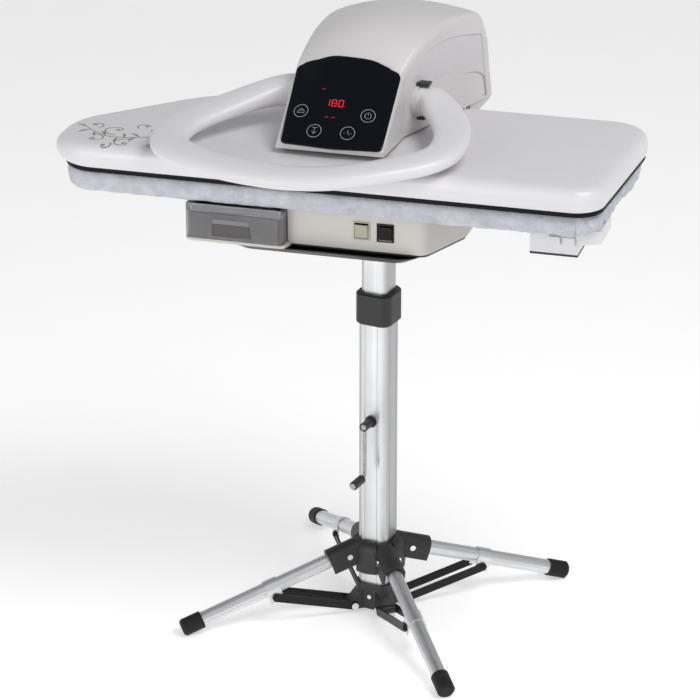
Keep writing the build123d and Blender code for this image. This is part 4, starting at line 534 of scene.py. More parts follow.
EXTRA_FINISHES = (
    Ink("shoe_ink", (0.23, 0.21, 0.20)),
    Ink("key_ink", (0.30, 0.31, 0.34)),
    Ink("digit_glow", (0.55, 0.012, 0.02), 0.6),
    Ink("faint_glow", (0.16, 0.012, 0.018), 0.15),
    # Painted shade of the tank's finger pull: near black in the recess, a lighter band on its ledge.
    Moulding("pull_shade", (0.062, 0.057, 0.056), 0.3, 0.08, rub=0.05, coat=0.3),
    Moulding("ledge_shade", (0.17, 0.17, 0.19), 0.3, 0.05, rub=0.05, coat=0.3),
    Moulding("bezel_green", (0.46, 0.47, 0.37), 0.35, 0.03),
    Moulding(
        "floor", (0.86, 0.86, 0.86), 0.75, 0.006, grain=40.0, grain_depth=0.0, specular=0.2, glow=0.52,
    ),
)
FINISHES = {finish.name: finish for finish in RECORD_FINISHES + EXTRA_FINISHES}


class Finisher:
    """Keeps one material of each finish and puts it on pieces."""

    def __init__(self, frame: dict[str, object]) -> None:
        """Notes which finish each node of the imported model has.
        """
        self.frame = frame
        self.made: dict[str, bpy.types.Material] = {}
        self.slots = {part["node"]: part["material_slot"] for part in frame["record"]["subparts"]}

    def material(self, name: str) -> bpy.types.Material:
        """The material of a finish, made when it is first wanted."""
        if name not in self.made:
            self.made[name] = FINISHES[name].material()
        return self.made[name]

    def paint(self, piece: bpy.types.Object, name: str) -> None:
        """Puts one finish on a whole piece."""
        piece.data.materials.clear()
        piece.data.materials.append(self.material(name))

    def fit(self, piece: bpy.types.Object, finish: str, body: str, node: str = "") -> None:
        """Paints a new piece and puts it on the body that it rides.

        Args:
            piece: The new piece.
            finish: Its finish.
            body: The body that it rides.
            node: The model's node that it replaces, if any.
        """
        self.paint(piece, finish)
        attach(piece, body)
        if node:
            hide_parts(node)
        LOG.info("made %s", piece.name)

    def dress(self, *nodes: str) -> None:
        """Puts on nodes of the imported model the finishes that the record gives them."""
        for node in nodes:
            piece = self.frame["nodes"][node]
            self.paint(piece, self.slots[node])
            LOG.info("dressed %s in %s", node, self.slots[node])

    def along(self, name: str, along: Vector) -> bpy.types.Material:
        """A metal finish whose streaks run another way."""
        base = FINISHES[name]
        key = f"{name}_{round(along.x * 100)}_{round(along.y * 100)}"
        if key not in self.made:
            values = {**base.__dict__, "name": key, "along": tuple(along)}
            self.made[key] = DrawnMetal(**values).material()
        return self.made[key]


# Mesh tools


class Closing(Enum):
    """How the rows of a grid of points are closed."""

    OPEN = "open"
    ROUND = "round"


def in_scene(name: str, data: bpy.types.ID) -> bpy.types.Object:
    """Makes an object of a mesh, light or camera and links it to the scene."""
    made = bpy.data.objects.new(name, data)
    bpy.context.scene.collection.objects.link(made)
    return made


def new_piece(name: str, points: list[Vector], faces: list[tuple[int, ...]]) -> bpy.types.Object:
    """Makes a smooth mesh piece.

    Args:
        name: The piece's name.
        points: Its vertices.
        faces: Its faces, as vertex numbers.

    Returns:
        The new object.
    """
    mesh = bpy.data.meshes.new(name)
    mesh.from_pydata(points, [], faces)
    mesh.validate()
    mesh.shade_smooth()
    return in_scene(name, mesh)


def creased(piece: bpy.types.Object) -> bpy.types.Object:
    """Makes the steep edges of a piece sharp."""
    piece.data.set_sharp_from_angle(angle=CREASE)
    return piece


def round_about(
    x: float, y: float, radius: float, steps: int, start: float = 0.0, arc: float = math.tau
) -> list[Point2]:
    """Points on an arc.

    Args:
        x: First coordinate of its middle.
        y: Second coordinate of its middle.
        radius: Its radius.
        steps: Parts that it is cut into.
        start: Angle of its first point.
        arc: Angle that it spans.

    Returns:
        Its points, both ends with them.
    """
    turns = [start + arc * step / steps for step in range(steps + 1)]
    return [(x + radius * math.cos(turn), y + radius * math.sin(turn)) for turn in turns]


def grid_faces(rows: int, columns: int, closing: Closing) -> list[tuple[int, ...]]:
    """Quads of a grid of points kept row by row.

    Args:
        rows: Number of rows.
        columns: Points in each row.
        closing: Whether the last point of a row joins the first.

    Returns:
        The quads.
    """
    last = columns if closing is Closing.ROUND else columns - 1
    quads = []
    for row in range(rows - 1):
        for column in range(last):
            after = (column + 1) % columns
            here, above = row * columns, (row + 1) * columns
            quads.append((here + column, here + after, above + after, above + column))
    return quads


def join_pieces(name: str, pieces: list[bpy.types.Object]) -> bpy.types.Object:
    """Joins several pieces of one finish into one.

    Args:
        name: Name of the joined piece.
        pieces: The pieces.

    Returns:
        The joined object.
    """
    whole = bmesh.new()
    for piece in pieces:
        whole.from_mesh(piece.data)
        bpy.data.objects.remove(piece)
    mesh = bpy.data.meshes.new(name)
    whole.to_mesh(mesh)
    whole.free()
    mesh.shade_smooth()
    return in_scene(name, mesh)


class Surface:
    """Skin of one node, on which thin prints are laid."""

    def __init__(self, piece: bpy.types.Object) -> None:
        """Keeps the node's triangles for ray casts.

        Args:
            piece: The node's object.
        """
        points = [vertex.co.copy() for vertex in piece.data.vertices]
        self.tree = BVHTree.FromPolygons(points, [tuple(face.vertices) for face in piece.data.polygons])

    def lay(self, spot: Vector, inward: Vector, lift: float) -> Vector:
        """A point dropped on the skin.

        Args:
            spot: Point outside the skin.
            inward: Direction to drop in.
            lift: Height over the skin where it ends.

        Returns:
            The point over the skin, or the spot itself where nothing is below it.
        """
        hit = self.tree.ray_cast(spot, inward)[0]
        return spot if hit is None else hit - inward * lift


@dataclass(frozen=True)
class Sheet:
    """Flat drawing plane over a skin, for prints: its x, y and widths in millimetres."""

    origin: Vector
    across: Vector
    up: Vector
    skin: Surface
    lift: float = 0.12
    height: float = 30.0
    bow_tries: int = 24
    ring_steps: int = 48

    def above(self, x: float, y: float, rise: float) -> Vector:
        """Point at a height over a place of the drawing."""
        return self.origin + self.across * (x * MM) + self.up * (y * MM) + self.out() * (rise * MM)

    def out(self) -> Vector:
        """Direction away from the skin."""
        return self.across.cross(self.up)

    def spot(self, x: float, y: float) -> Vector:
        """Point of the drawing laid on the skin."""
        return self.skin.lay(self.above(x, y, self.height), -self.out(), self.lift * MM)

    def bow(self, x: float, y: float, middle: Point2) -> float:
        """Height of the skin over the sheet, in millimetres.

        Args:
            x: Place across.
            y: Place up.
            middle: Where a place off the skin is moved towards until it meets it.

        Returns:
            The height.
        """
        off = 0
        for step in range(self.bow_tries):
            keep = 1.0 - (step + off) / self.bow_tries
            place = (centre + (at - centre) * keep for centre, at in zip(middle, (x, y)))
            hit = self.skin.tree.ray_cast(self.above(*place, self.height), -self.out())[0]
            if hit is not None and (step == 0 or off):
                return (hit - self.origin).dot(self.out()) / MM
            off = 2 if hit is not None else off
        return 0.0

    def ribbon(self, name: str, line: list[Point2], widths: list[float]) -> bpy.types.Object:
        """Stroke of varying width along a line.

        Args:
            name: The piece's name.
            line: Points along its middle.
            widths: Width at each point.

        Returns:
            The new object.
        """
        points = []
        for index, (x, y) in enumerate(line):
            before, after = line[max(index - 1, 0)], line[min(index + 1, len(line) - 1)]
            run = Vector((after[0] - before[0], after[1] - before[1])).normalized()
            half = widths[index] / 2
            points.append(self.spot(x - run.y * half, y + run.x * half))
            points.append(self.spot(x + run.y * half, y - run.x * half))
        return new_piece(name, points, grid_faces(len(line), 2, Closing.OPEN))

    def ring(self, name: str, centre: Point2, radius: float, width: float) -> bpy.types.Object:
        """Thin printed circle."""
        line = round_about(*centre, radius, self.ring_steps)
        return self.ribbon(name, line, [width] * len(line))

    def bar(self, name: str, start: Point2, end: Point2, width: float) -> bpy.types.Object:
        """Straight stroke between two points."""
        shares = (0.0, 0.25, 0.5, 0.75, 1.0)
        line = [tuple(a + (b - a) * share for a, b in zip(start, end)) for share in shares]
        return self.ribbon(name, line, [width] * len(line))


# Camera and light


@dataclass(frozen=True)
class Studio:
    """Pale floor, soft lights and the camera of the photograph."""

    azimuth: float = 15.77
    elevation: float = 22.68
    distance: float = 5.540
    lens: float = 160.3
    sensor: float = 36.0
    aim: Point3 = (-0.00266, 0.0, 0.50071)
    floor_half: float = 14.0
    key: tuple[Point3, float, float] = ((-1.7, -3.8, 1.7), 2.2, 50.0)
    side: tuple[Point3, float, float] = ((1.9, -0.8, 3.8), 1.8, 72.0)
    horizon: Colour = (0.97, 0.97, 0.98)
    zenith: Colour = (0.26, 0.26, 0.27)
    surround: float = 0.74
    far: float = 60.0

    def camera(self) -> None:
        """Makes the camera."""
        turn, rise = math.radians(self.azimuth), math.radians(self.elevation)
        back = Vector((math.sin(turn) * math.cos(rise), -math.cos(turn) * math.cos(rise), math.sin(rise)))
        data = bpy.data.cameras.new("camera")
        data.lens = self.lens
        data.sensor_width = self.sensor
        data.clip_end = self.far
        camera = in_scene("camera", data)
        camera.location = Vector(self.aim) + back * self.distance
        camera.rotation_euler = (-back).to_track_quat("-Z", "Y").to_euler()
        bpy.context.scene.camera = camera

    def area_light(self, name: str, spot: Point3, size: float, power: float) -> None:
        """Makes one large soft light that points at the object.

        Args:
            name: The light's name.
            spot: Where it hangs.
            size: Length of its sides.
            power: Its power in watts.
        """
        data = bpy.data.lights.new(name, "AREA")
        data.shape = "RECTANGLE"
        data.size = data.size_y = size
        data.energy = power
        light = in_scene(name, data)
        light.location = spot
        light.rotation_euler = (Vector(self.aim) - Vector(spot)).to_track_quat("-Z", "Y").to_euler()

    def lights(self) -> None:
        """Hangs the lights and sets the surround, which is brightest at the horizon."""
        self.area_light("key", *self.key)
        self.area_light("side", *self.side)
        world = bpy.data.worlds.new("studio")
        shader = Shader(world)
        place = shader.node("ShaderNodeTexCoord", out="Generated")
        rise = shader.node("ShaderNodeSeparateXYZ", None, {0: place}, "Z").between(0.0, 0.9)
        sky = shader.tint(rise, self.horizon, self.zenith)
        surround = shader.node("ShaderNodeBackground", None, {"Color": sky, "Strength": self.surround})
        shader.node("ShaderNodeOutputWorld", None, {"Surface": surround})
        bpy.context.scene.world = world
        bpy.context.scene.view_settings.view_transform = "Standard"

    def floor(self, finisher: Finisher) -> None:
        """Lays the floor."""
        half = self.floor_half
        corners = [Vector((x * half, y * half, 0.0)) for x, y in ((-1, -1), (1, -1), (1, 1), (-1, 1))]
        ground = new_piece("floor", corners, [(0, 1, 2, 3)])
        ground.data.materials.append(finisher.material("floor"))

    def build(self, finisher: Finisher) -> None:
        """Makes the camera, the lights and the floor."""
        self.camera()
        self.lights()
        self.floor(finisher)
        LOG.info("studio is set")


# Forms


class Ends(Enum):
    """What is done with the first and the last ring of a loft."""

    FILLED = "filled"
    JOINED = "joined"


def smooth(share: float) -> float:
    """Soft step from 0 to 1."""
    held = min(1.0, max(0.0, share))
    return held * held * (3.0 - 2.0 * held)


def between_rows(a: float, b: float, c: float, d: float, share: float) -> float:
    """Value on a smooth run through four values, between the middle two."""
    return b + share / 2 * (c - a + share * (2 * a - 5 * b + 4 * c - d + share * (3 * (b - c) + d - a)))


def spline(rows: Rows, steps: int) -> Rows:
    """Rows of numbers drawn out into a smooth run through them all.

    Args:
        rows: Numbers of each station, in order.
        steps: Parts that each gap is cut into.

    Returns:
        The denser rows.
    """
    last = len(rows) - 1
    dense = []
    for index in range(last):
        four = rows[max(index - 1, 0)], rows[index], rows[index + 1], rows[min(index + 2, last)]
        for step in range(steps):
            dense.append(tuple(between_rows(*values, step / steps) for values in zip(*four)))
    return dense + [tuple(rows[-1])]


def loft(name: str, rings: list[list[Vector]], ends: Ends = Ends.FILLED) -> bpy.types.Object:
    """Closed skin over rings of equal count.

    Args:
        name: The piece's name.
        rings: The rings, in order.
        ends: Whether the end rings are filled or joined to each other.

    Returns:
        The new object, its faces turned outward.
    """
    sides = len(rings[0])
    points = [point for ring in rings for point in ring]
    top = len(points) - sides
    faces = grid_faces(len(rings), sides, Closing.ROUND)
    if ends is Ends.FILLED:
        faces += [tuple(reversed(range(sides))), tuple(range(top, len(points)))]
    else:
        faces += [(top + side, top + (side + 1) % sides, (side + 1) % sides, side) for side in range(sides)]
    piece = new_piece(name, points, faces)
    whole = bmesh.new()
    whole.from_mesh(piece.data)
    bmesh.ops.recalc_face_normals(whole, faces=whole.faces)
    whole.to_mesh(piece.data)
    whole.free()
    return creased(piece)


def level(plan: Rows, height: float) -> list[Vector]:
    """Level ring of points over a plan, both in millimetres."""
    return [Vector((x, y, height)) * MM for x, y in plan]


def rounded(piece: bpy.types.Object, width: float, segments: int = 3) -> bpy.types.Object:
    """Rounds the sharp edges of a piece by a width in millimetres."""
    bevel = piece.modifiers.new("rounding", "BEVEL")
    bevel.width = width * MM
    bevel.segments = segments
    bevel.limit_method = "ANGLE"
    bevel.angle_limit = BEVEL_FROM
    return piece


def prism(name: str, profile: list[Vector], reach: Point3, round_by: float = 0.0) -> bpy.types.Object:
    """Straight bar of any profile.

    Args:
        name: The piece's name.
        profile: Corners of its first end.
        reach: From its first end to its last, in millimetres.
        round_by: Width of its edges' rounding in millimetres, if any.

    Returns:
        The new object.
    """
    far = Vector([part * MM for part in reach])
    bar = loft(name, [profile, [corner + far for corner in profile]])
    return rounded(bar, round_by) if round_by else bar


@dataclass(frozen=True)
class Outline:
    """Rounded outline in millimetres, seen from above, that the board's pad and the shoe share."""

    corners: tuple[Point2, ...] = (
        (-495.0, -187.0), (473.0, -187.0), (498.0, 205.0), (20.0, 205.0), (-292.0, 172.0), (-495.0, -42.0),
    )
    radii: tuple[float, ...] = (72.0, 52.0, 72.0, 500.0, 230.0, 120.0)
    nose_from: float = -300.0
    nose_tip: float = -495.0

    def edge(self, step: float) -> list[tuple[Vector, Vector]]:
        """Walks once round the outline.

        Args:
            step: Spacing of the points.

        Returns:
            Each point with the outward direction there.
        """
        arcs = []
        for index, radius in enumerate(self.radii):
            before, here, after = (
                Vector(self.corners[(index + turn) % len(self.corners)]) for turn in (-1, 0, 1)
            )
            into, away = (here - before).normalized(), (after - here).normalized()
            turn = math.acos(into.dot(away))
            middle = here - into * radius * math.tan(turn / 2) + Vector((-into.y, into.x)) * radius
            start = math.atan2(-into.x, into.y)
            steps = math.ceil(radius * turn / step)
            angles = [start + turn * part / steps for part in range(steps + 1)]
            outs = [Vector((math.cos(angle), math.sin(angle))) for angle in angles]
            arcs.append([(middle + out * radius, out) for out in outs])
        edge = []
        for arc, following in zip(arcs, arcs[1:] + arcs[:1]):
            (start, out), (end, _) = arc[-1], following[0]
            steps = max(1, round((end - start).length / step))
            edge += arc + [(start.lerp(end, part / steps), out) for part in range(1, steps)]
        return edge

    def spot(self, point: Vector, out: Vector, inset: float, nose: float, height: float) -> Vector:
        """A point of a level ring, in metres.

        Args:
            point: Point of the edge.
            out: Outward direction there.
            inset: How far the ring is drawn in.
            nose: How much further its nose is drawn in.
            height: Height of the ring.

        Returns:
            The ring's point.
        """
        flat = point - out * inset
        share = smooth((self.nose_from - flat.x) / (self.nose_from - self.nose_tip))
        return Vector((flat.x + nose * share, flat.y, height)) * MM

    def rings(self, rows: Rows, step: float) -> list[list[Vector]]:
        """Level rings, one for each row of inset, nose inset and height."""
        edge = self.edge(step)
        return [[self.spot(point, out, *row) for point, out in edge] for row in rows]


# Sub-assemblies


@dataclass(frozen=True)
class Stand:
    """Column, crank, hub, struts and folding legs."""

    legs: int = 4
    first_turn: float = 34.1
    slope: float = 18.4
    axis: Point2 = (50.0, 0.0)
    skirt_reach: float = 23.0
    skirt_steps: int = 8
    skirt_rows: Rows = (
        (34.0, 143.5), (39.5, 142.4), (44.5, 139.0), (48.0, 133.0), (50.0, 125.0), (50.8, 115.0), (50.8, 97.0),
        (50.4, 96.0), (49.2, 96.0), (49.2, 108.0), (34.0, 126.0),
    )

    def skirt(self) -> bpy.types.Object:
        """Round shoulders of the hub between its hoods."""
        segments = []
        for number in range(self.legs):
            start = math.radians(self.first_turn + 45.0 + 90.0 * number - self.skirt_reach)
            arc = math.radians(2 * self.skirt_reach)
            lines = [
                level(round_about(*self.axis, reach, self.skirt_steps, start, arc), rise)
                for reach, rise in self.skirt_rows
            ]
            segments.append(loft("segment", [list(ring) for ring in zip(*lines)]))
        return creased(join_pieces("hub_skirt", segments))

    def build(self, finisher: Finisher) -> None:
        """Dresses the stand, with streaks along each leg."""
        finisher.dress(
            "outer_column", "inner_column", "slide_ring", "clamp_collar", "foot_collar", "collar_rivets",
            "hub", "hub_rivets", "rack", "pinion", "crank_bush", "crank_shaft", "crank_boss", "crank_arm",
            "crank_grip",
        )
        for number in range(1, self.legs + 1):
            finisher.dress(f"leg_tube_{number}", f"foot_cap_{number}", f"strut_{number}")
            turn = math.radians(self.first_turn + 90.0 * (number - 1))
            drop = math.radians(self.slope)
            run = Vector((math.cos(turn) * math.cos(drop), math.sin(turn) * math.cos(drop), -math.sin(drop)))
            tube = finisher.frame["nodes"][f"leg_tube_{number}"]
            tube.data.materials.clear()
            tube.data.materials.append(finisher.along("leg_aluminium", run))
        finisher.fit(self.skirt(), "black_plastic", "hub")


@dataclass(frozen=True)
class Switches:
    """Two rocker switches in thin bezels; lengths in millimetres."""

    places: tuple[tuple[str, float, str, str], ...] = (
        ("power", 60.0, "bezel_green", "green_lens"), ("steam", 102.0, "black_gloss", "black_gloss"),
    )
    height: float = 787.0
    front: float = -150.0
    proud: float = 1.8
    outer: Point2 = (30.0, 33.0)
    opening: Point2 = (24.6, 28.6)
    cap: Point2 = (23.4, 24.6)
    lean: float = 3.6
    cap_face: float = -152.8
    cap_back: float = -150.8
    cap_chamfer: float = 1.0
    cap_round: float = 0.9
    bezel_round: float = 0.5
    seat: float = 0.05

    def oblong(self, middle: float, size: Point2, depth: float) -> list[Vector]:
        """Corners of an upright oblong round a switch."""
        signs = ((-1, -1), (1, -1), (1, 1), (-1, 1))
        return [
            Vector((middle + a * size[0] / 2, depth, self.height + b * size[1] / 2)) * MM for a, b in signs
        ]

    def bezel(self, name: str, middle: float) -> bpy.types.Object:
        """Frame round one rocker."""
        face, foot = self.front - self.proud, self.front - self.seat
        rings = [
            self.oblong(middle, self.outer, foot), self.oblong(middle, self.outer, face),
            self.oblong(middle, self.opening, face), self.oblong(middle, self.opening, foot),
        ]
        return rounded(loft(name, rings, Ends.JOINED), self.bezel_round)

    def rocker(self, name: str, middle: float) -> bpy.types.Object:
        """Rocker cap whose upper half stands out."""
        half = self.cap[1] / 2
        sides = (
            (self.cap_back, -half + self.cap_chamfer), (self.cap_face, -half), (self.cap_face, 0.0),
            (self.cap_face - self.lean, half), (self.cap_back, half - self.cap_chamfer),
        )
        left = middle - self.cap[0] / 2
        profile = [Vector((left, depth, self.height + rise)) * MM for depth, rise in sides]
        return prism(name, profile, (self.cap[0], 0.0, 0.0), self.cap_round)

    def build(self, finisher: Finisher) -> None:
        """Makes both switches over the model's own."""
        bezels = []
        for name, middle, frame_finish, cap_finish in self.places:
            bezels.append(self.bezel(f"{name}_bezel", middle))
            finisher.fit(bezels[-1], frame_finish, "top")
            rocker = f"{name}_rocker"
            finisher.fit(self.rocker(f"{name}_cap", middle), cap_finish, rocker, node=rocker)
        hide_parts("switch_bezels")


@dataclass(frozen=True)
class Base:
    """Tray, housing, tank, end box and hinge cover; lengths in millimetres."""

    lip_plan: tuple[Point2, ...] = (
        (-249.0, -149.8), (-249.0, -164.0), (-245.5, -171.5), (-238.0, -175.0), (-78.0, -175.0),
        (-70.5, -171.5), (-66.0, -162.0), (-64.0, -149.8),
    )
    lip_foot: float = 748.4
    lip_height: float = 6.2
    lip_round: float = 1.4
    tank_face: float = -178.0
    seat: float = 0.05
    plate: float = 2.0
    plate_round: float = 0.4
    front_plan: tuple[Point2, ...] = ((-239.0, 756.2), (-79.0, 756.2), (-79.0, 802.6), (-239.0, 802.6))
    pull: tuple[Point2, ...] = ((-197.0, 762.0), (-126.0, 762.0), (-133.0, 793.0), (-197.0, 793.0))
    pull_proud: float = 0.6
    pull_round: float = 0.3
    ledge: float = 8.0
    ledge_gap: float = 0.2
    ledge_proud: float = 1.6
    rim_box: tuple[float, float, float, float, float, float, float] = (
        -244.5, -73.5, -177.0, -60.0, 3.0, 813.2, 817.4,
    )
    rim_round: float = 0.5

    def lip(self) -> bpy.types.Object:
        """Shelf of the housing that carries the tank's front."""
        profile = level(self.lip_plan, self.lip_foot)
        return prism("tank_shelf", profile, (0.0, 0.0, self.lip_height), self.lip_round)

    def upright(self, name: str, ring: tuple[Point2, ...], proud: float) -> bpy.types.Object:
        """Plate on the tank's front, from its corners as x and height."""
        profile = [Vector((x, self.tank_face - proud, z)) * MM for x, z in ring]
        return prism(name, profile, (0.0, proud - self.seat, 0.0), self.pull_round)

    def tank_front(self) -> bpy.types.Object:
        """Front plate of the tank, open where the finger pull is."""
        face, foot = self.tank_face - self.plate, self.tank_face - self.seat
        plans = (self.front_plan, foot), (self.front_plan, face), (self.pull, face), (self.pull, foot)
        rings = [[Vector((x, y, z)) * MM for x, z in ring] for ring, y in plans]
        return rounded(loft("tank_front", rings, Ends.JOINED), self.plate_round, 2)

    def tank_pieces(self, finisher: Finisher) -> None:
        """Adds the tank's front plate, its pull and ledge painted with shade, and its raised rim, which slide
        with it.
        """
        high = self.pull[2][1]
        ledge = tuple((x, max(z, high - self.ledge)) for x, z in self.pull)
        pull = tuple((x, min(z, high - self.ledge - self.ledge_gap)) for x, z in self.pull)
        left, right, front, back, wall, foot, top = self.rim_box
        rim = (
            (left, front), (right, front), (right, front + wall), (left + wall, front + wall),
            (left + wall, back), (left, back),
        )
        rise = (0.0, 0.0, top - foot)
        for piece, finish, slot in (
            (self.tank_front(), "tank_smoke", "tank_smoke"),
            # Dark plate of painted shade in the finger pull, and a lighter band of painted shade on its ledge.
            (self.upright("tank_pull", pull, self.pull_proud), "pull_shade", "tank_smoke"),
            (self.upright("tank_ledge", ledge, self.ledge_proud), "ledge_shade", "tank_smoke"),
            (prism("tank_lip", level(rim, foot), rise, self.rim_round), "tank_rim_plastic", ""),
        ):
            finisher.fit(piece, finish, "tank")

    def build(self, finisher: Finisher) -> None:
        """Dresses the base and adds the shelf and the tank's details."""
        finisher.dress(
            "tray", "base_plate", "base_housing", "water_pump", "power_board", "mains_gland", "bed_rails",
            "board_bed", "hinge_bracket", "hinge_axle", "spring_cartridge", "hinge_cover", "end_box",
            "end_box_foot", "end_box_tabs", "water_tank", "tank_rim",
        )
        finisher.fit(self.lip(), "cream_plastic", "top")
        self.tank_pieces(finisher)


@dataclass(frozen=True)
class Shoe:
    """Upper shoe: softly rounded cover with a printed scroll, and the sole plate; millimetres."""

    outline: Outline = Outline()
    step: float = 5.0
    cover_rows: Rows = (
        (7.0, 11.0, 901.0), (7.0, 11.0, 880.0), (6.6, 13.4, 869.0), (5.2, 15.0, 867.2), (3.0, 14.2, 867.3),
        (1.6, 10.2, 868.8), (0.6, 5.8, 871.6), (0.1, 2.2, 875.8), (0.0, 0.4, 881.0), (0.0, 0.0, 888.0),
        (1.6, 0.0, 895.0), (5.2, 0.0, 900.4), (10.6, 0.0, 904.0), (17.6, 0.0, 906.1), (27.0, 0.0, 906.9),
        (44.0, 0.0, 907.0),
    )
    plate_rows: Rows = (
        (6.2, 14.0, 859.0), (3.5, 14.0, 859.2), (3.0, 14.0, 860.2), (3.0, 14.0, 866.4), (3.5, 14.0, 867.0),
        (5.6, 14.0, 867.0), (6.0, 14.0, 866.4), (6.2, 14.0, 863.2),
    )
    stem: tuple[Point2, ...] = (
        (-282.0, -132.0), (-306.0, -120.0), (-336.0, -118.0), (-366.0, -128.0), (-396.0, -130.0),
        (-424.0, -116.0), (-452.0, -90.0),
    )
    curls: Rows = (
        (-326.0, -84.0, 36.0, -80.0, 1.0), (-362.0, -158.0, 28.0, 80.0, 1.0),
        (-394.0, -92.0, 34.0, -80.0, -1.0), (-420.0, -146.0, 25.0, 95.0, -1.0),
        (-312.0, -156.0, 25.0, 70.0, -1.0), (-440.0, -76.0, 19.0, -60.0, 1.0),
        (-352.0, -62.0, 19.0, -120.0, -1.0), (-392.0, -172.0, 15.0, 60.0, -1.0),
    )
    curl_steps: int = 45
    curl_turn: float = 2.1 * math.tau / 1.25
    curl_shrink: float = 0.30
    curl_flat: float = 0.86
    curl_taper: Point2 = (2.5, 1.2)
    eye: Point2 = (1.7, 1.6)
    leaf_steps: int = 10
    leaf_bend: float = 26.0
    leaf_bulge: Point2 = (0.5, 4.6)
    stem_swell: Point2 = (1.4, 1.4)
    print_height: float = 900.0
    leaves: Rows = (
        (-300.0, -122.0, 50.0, 26.0), (-346.0, -121.0, 118.0, 28.0), (-350.0, -123.0, 232.0, 26.0),
        (-380.0, -130.0, 250.0, 28.0), (-406.0, -127.0, 100.0, 26.0), (-440.0, -102.0, 205.0, 27.0),
        (-452.0, -90.0, 130.0, 25.0), (-290.0, -129.0, 300.0, 22.0), (-372.0, -129.0, 82.0, 22.0),
        (-318.0, -118.0, 262.0, 24.0), (-428.0, -113.0, 262.0, 22.0),
    )

    def curl(self, x: float, y: float, size: float, start: float, hand: float) -> list[Point2]:
        """Spiral that winds in to its eye.

        Args:
            x: Place of its eye across.
            y: Place of its eye up.
            size: Its outer radius.
            start: Angle of its outer end in degrees.
            hand: 1 or -1, for the way it winds.

        Returns:
            Its line.
        """
        line = []
        for step in range(self.curl_steps + 1):
            turn = step / self.curl_steps * self.curl_turn
            reach = size * math.exp(-self.curl_shrink * turn)
            angle = math.radians(start) + hand * turn
            line.append((x + reach * math.cos(angle), y + reach * self.curl_flat * math.sin(angle)))
        return line

    def leaf(self, x: float, y: float, turn: float, length: float) -> list[Point2]:
        """Middle line of a leaf, slightly bent.

        Args:
            x: Place of its foot across.
            y: Place of its foot up.
            turn: Direction of its foot in degrees.
            length: Its length.

        Returns:
            Its line.
        """
        line = []
        for step in range(self.leaf_steps + 1):
            share = step / self.leaf_steps
            angle = math.radians(turn + self.leaf_bend * share)
            line.append((x + length * share * math.cos(angle), y + length * share * math.sin(angle)))
        return line

    def scroll(self, skin: Surface) -> bpy.types.Object:
        """Printed scroll on the nose: a stem with curls and leaves."""
        foot = Vector((0.0, 0.0, self.print_height * MM))
        sheet = Sheet(foot, Vector((1.0, 0.0, 0.0)), Vector((0.0, 1.0, 0.0)), skin)
        stem = spline(self.stem, LINE_STEPS)
        thin, more = self.stem_swell
        swell = [thin + more * math.sin(math.pi * index / (len(stem) - 1)) for index in range(len(stem))]
        wide, less = self.curl_taper
        taper = [wide - less * step / self.curl_steps for step in range(self.curl_steps + 1)]
        tip, bulge = self.leaf_bulge
        arch = [math.sin(math.pi * step / self.leaf_steps) for step in range(self.leaf_steps + 1)]
        widths = [tip + bulge * rise ** 1.5 for rise in arch]
        prints = [sheet.ribbon("stem", stem, swell)]
        for curl in self.curls:
            line = self.curl(*curl)
            prints.append(sheet.ribbon("curl", line, taper))
            prints.append(sheet.ring("eye", line[-1], *self.eye))
        prints += [sheet.ribbon("leaf", self.leaf(*leaf), widths) for leaf in self.leaves]
        return join_pieces("shoe_scroll", prints)

    def build(self, finisher: Finisher) -> None:
        """Makes the cover, the plate and the print, and dresses what they hold."""
        finisher.dress("heating_element", "insulation")
        for name, rows, node in (
            ("shoe_skin", spline(self.cover_rows, ROW_STEPS), "shoe_cover"),
            ("sole_skin", self.plate_rows, "sole_plate"),
        ):
            piece = loft(name, self.outline.rings(rows, self.step))
            finisher.fit(piece, finisher.slots[node], "arm", node=node)
            if node == "shoe_cover":
                finisher.fit(self.scroll(Surface(piece)), "shoe_ink", "arm")


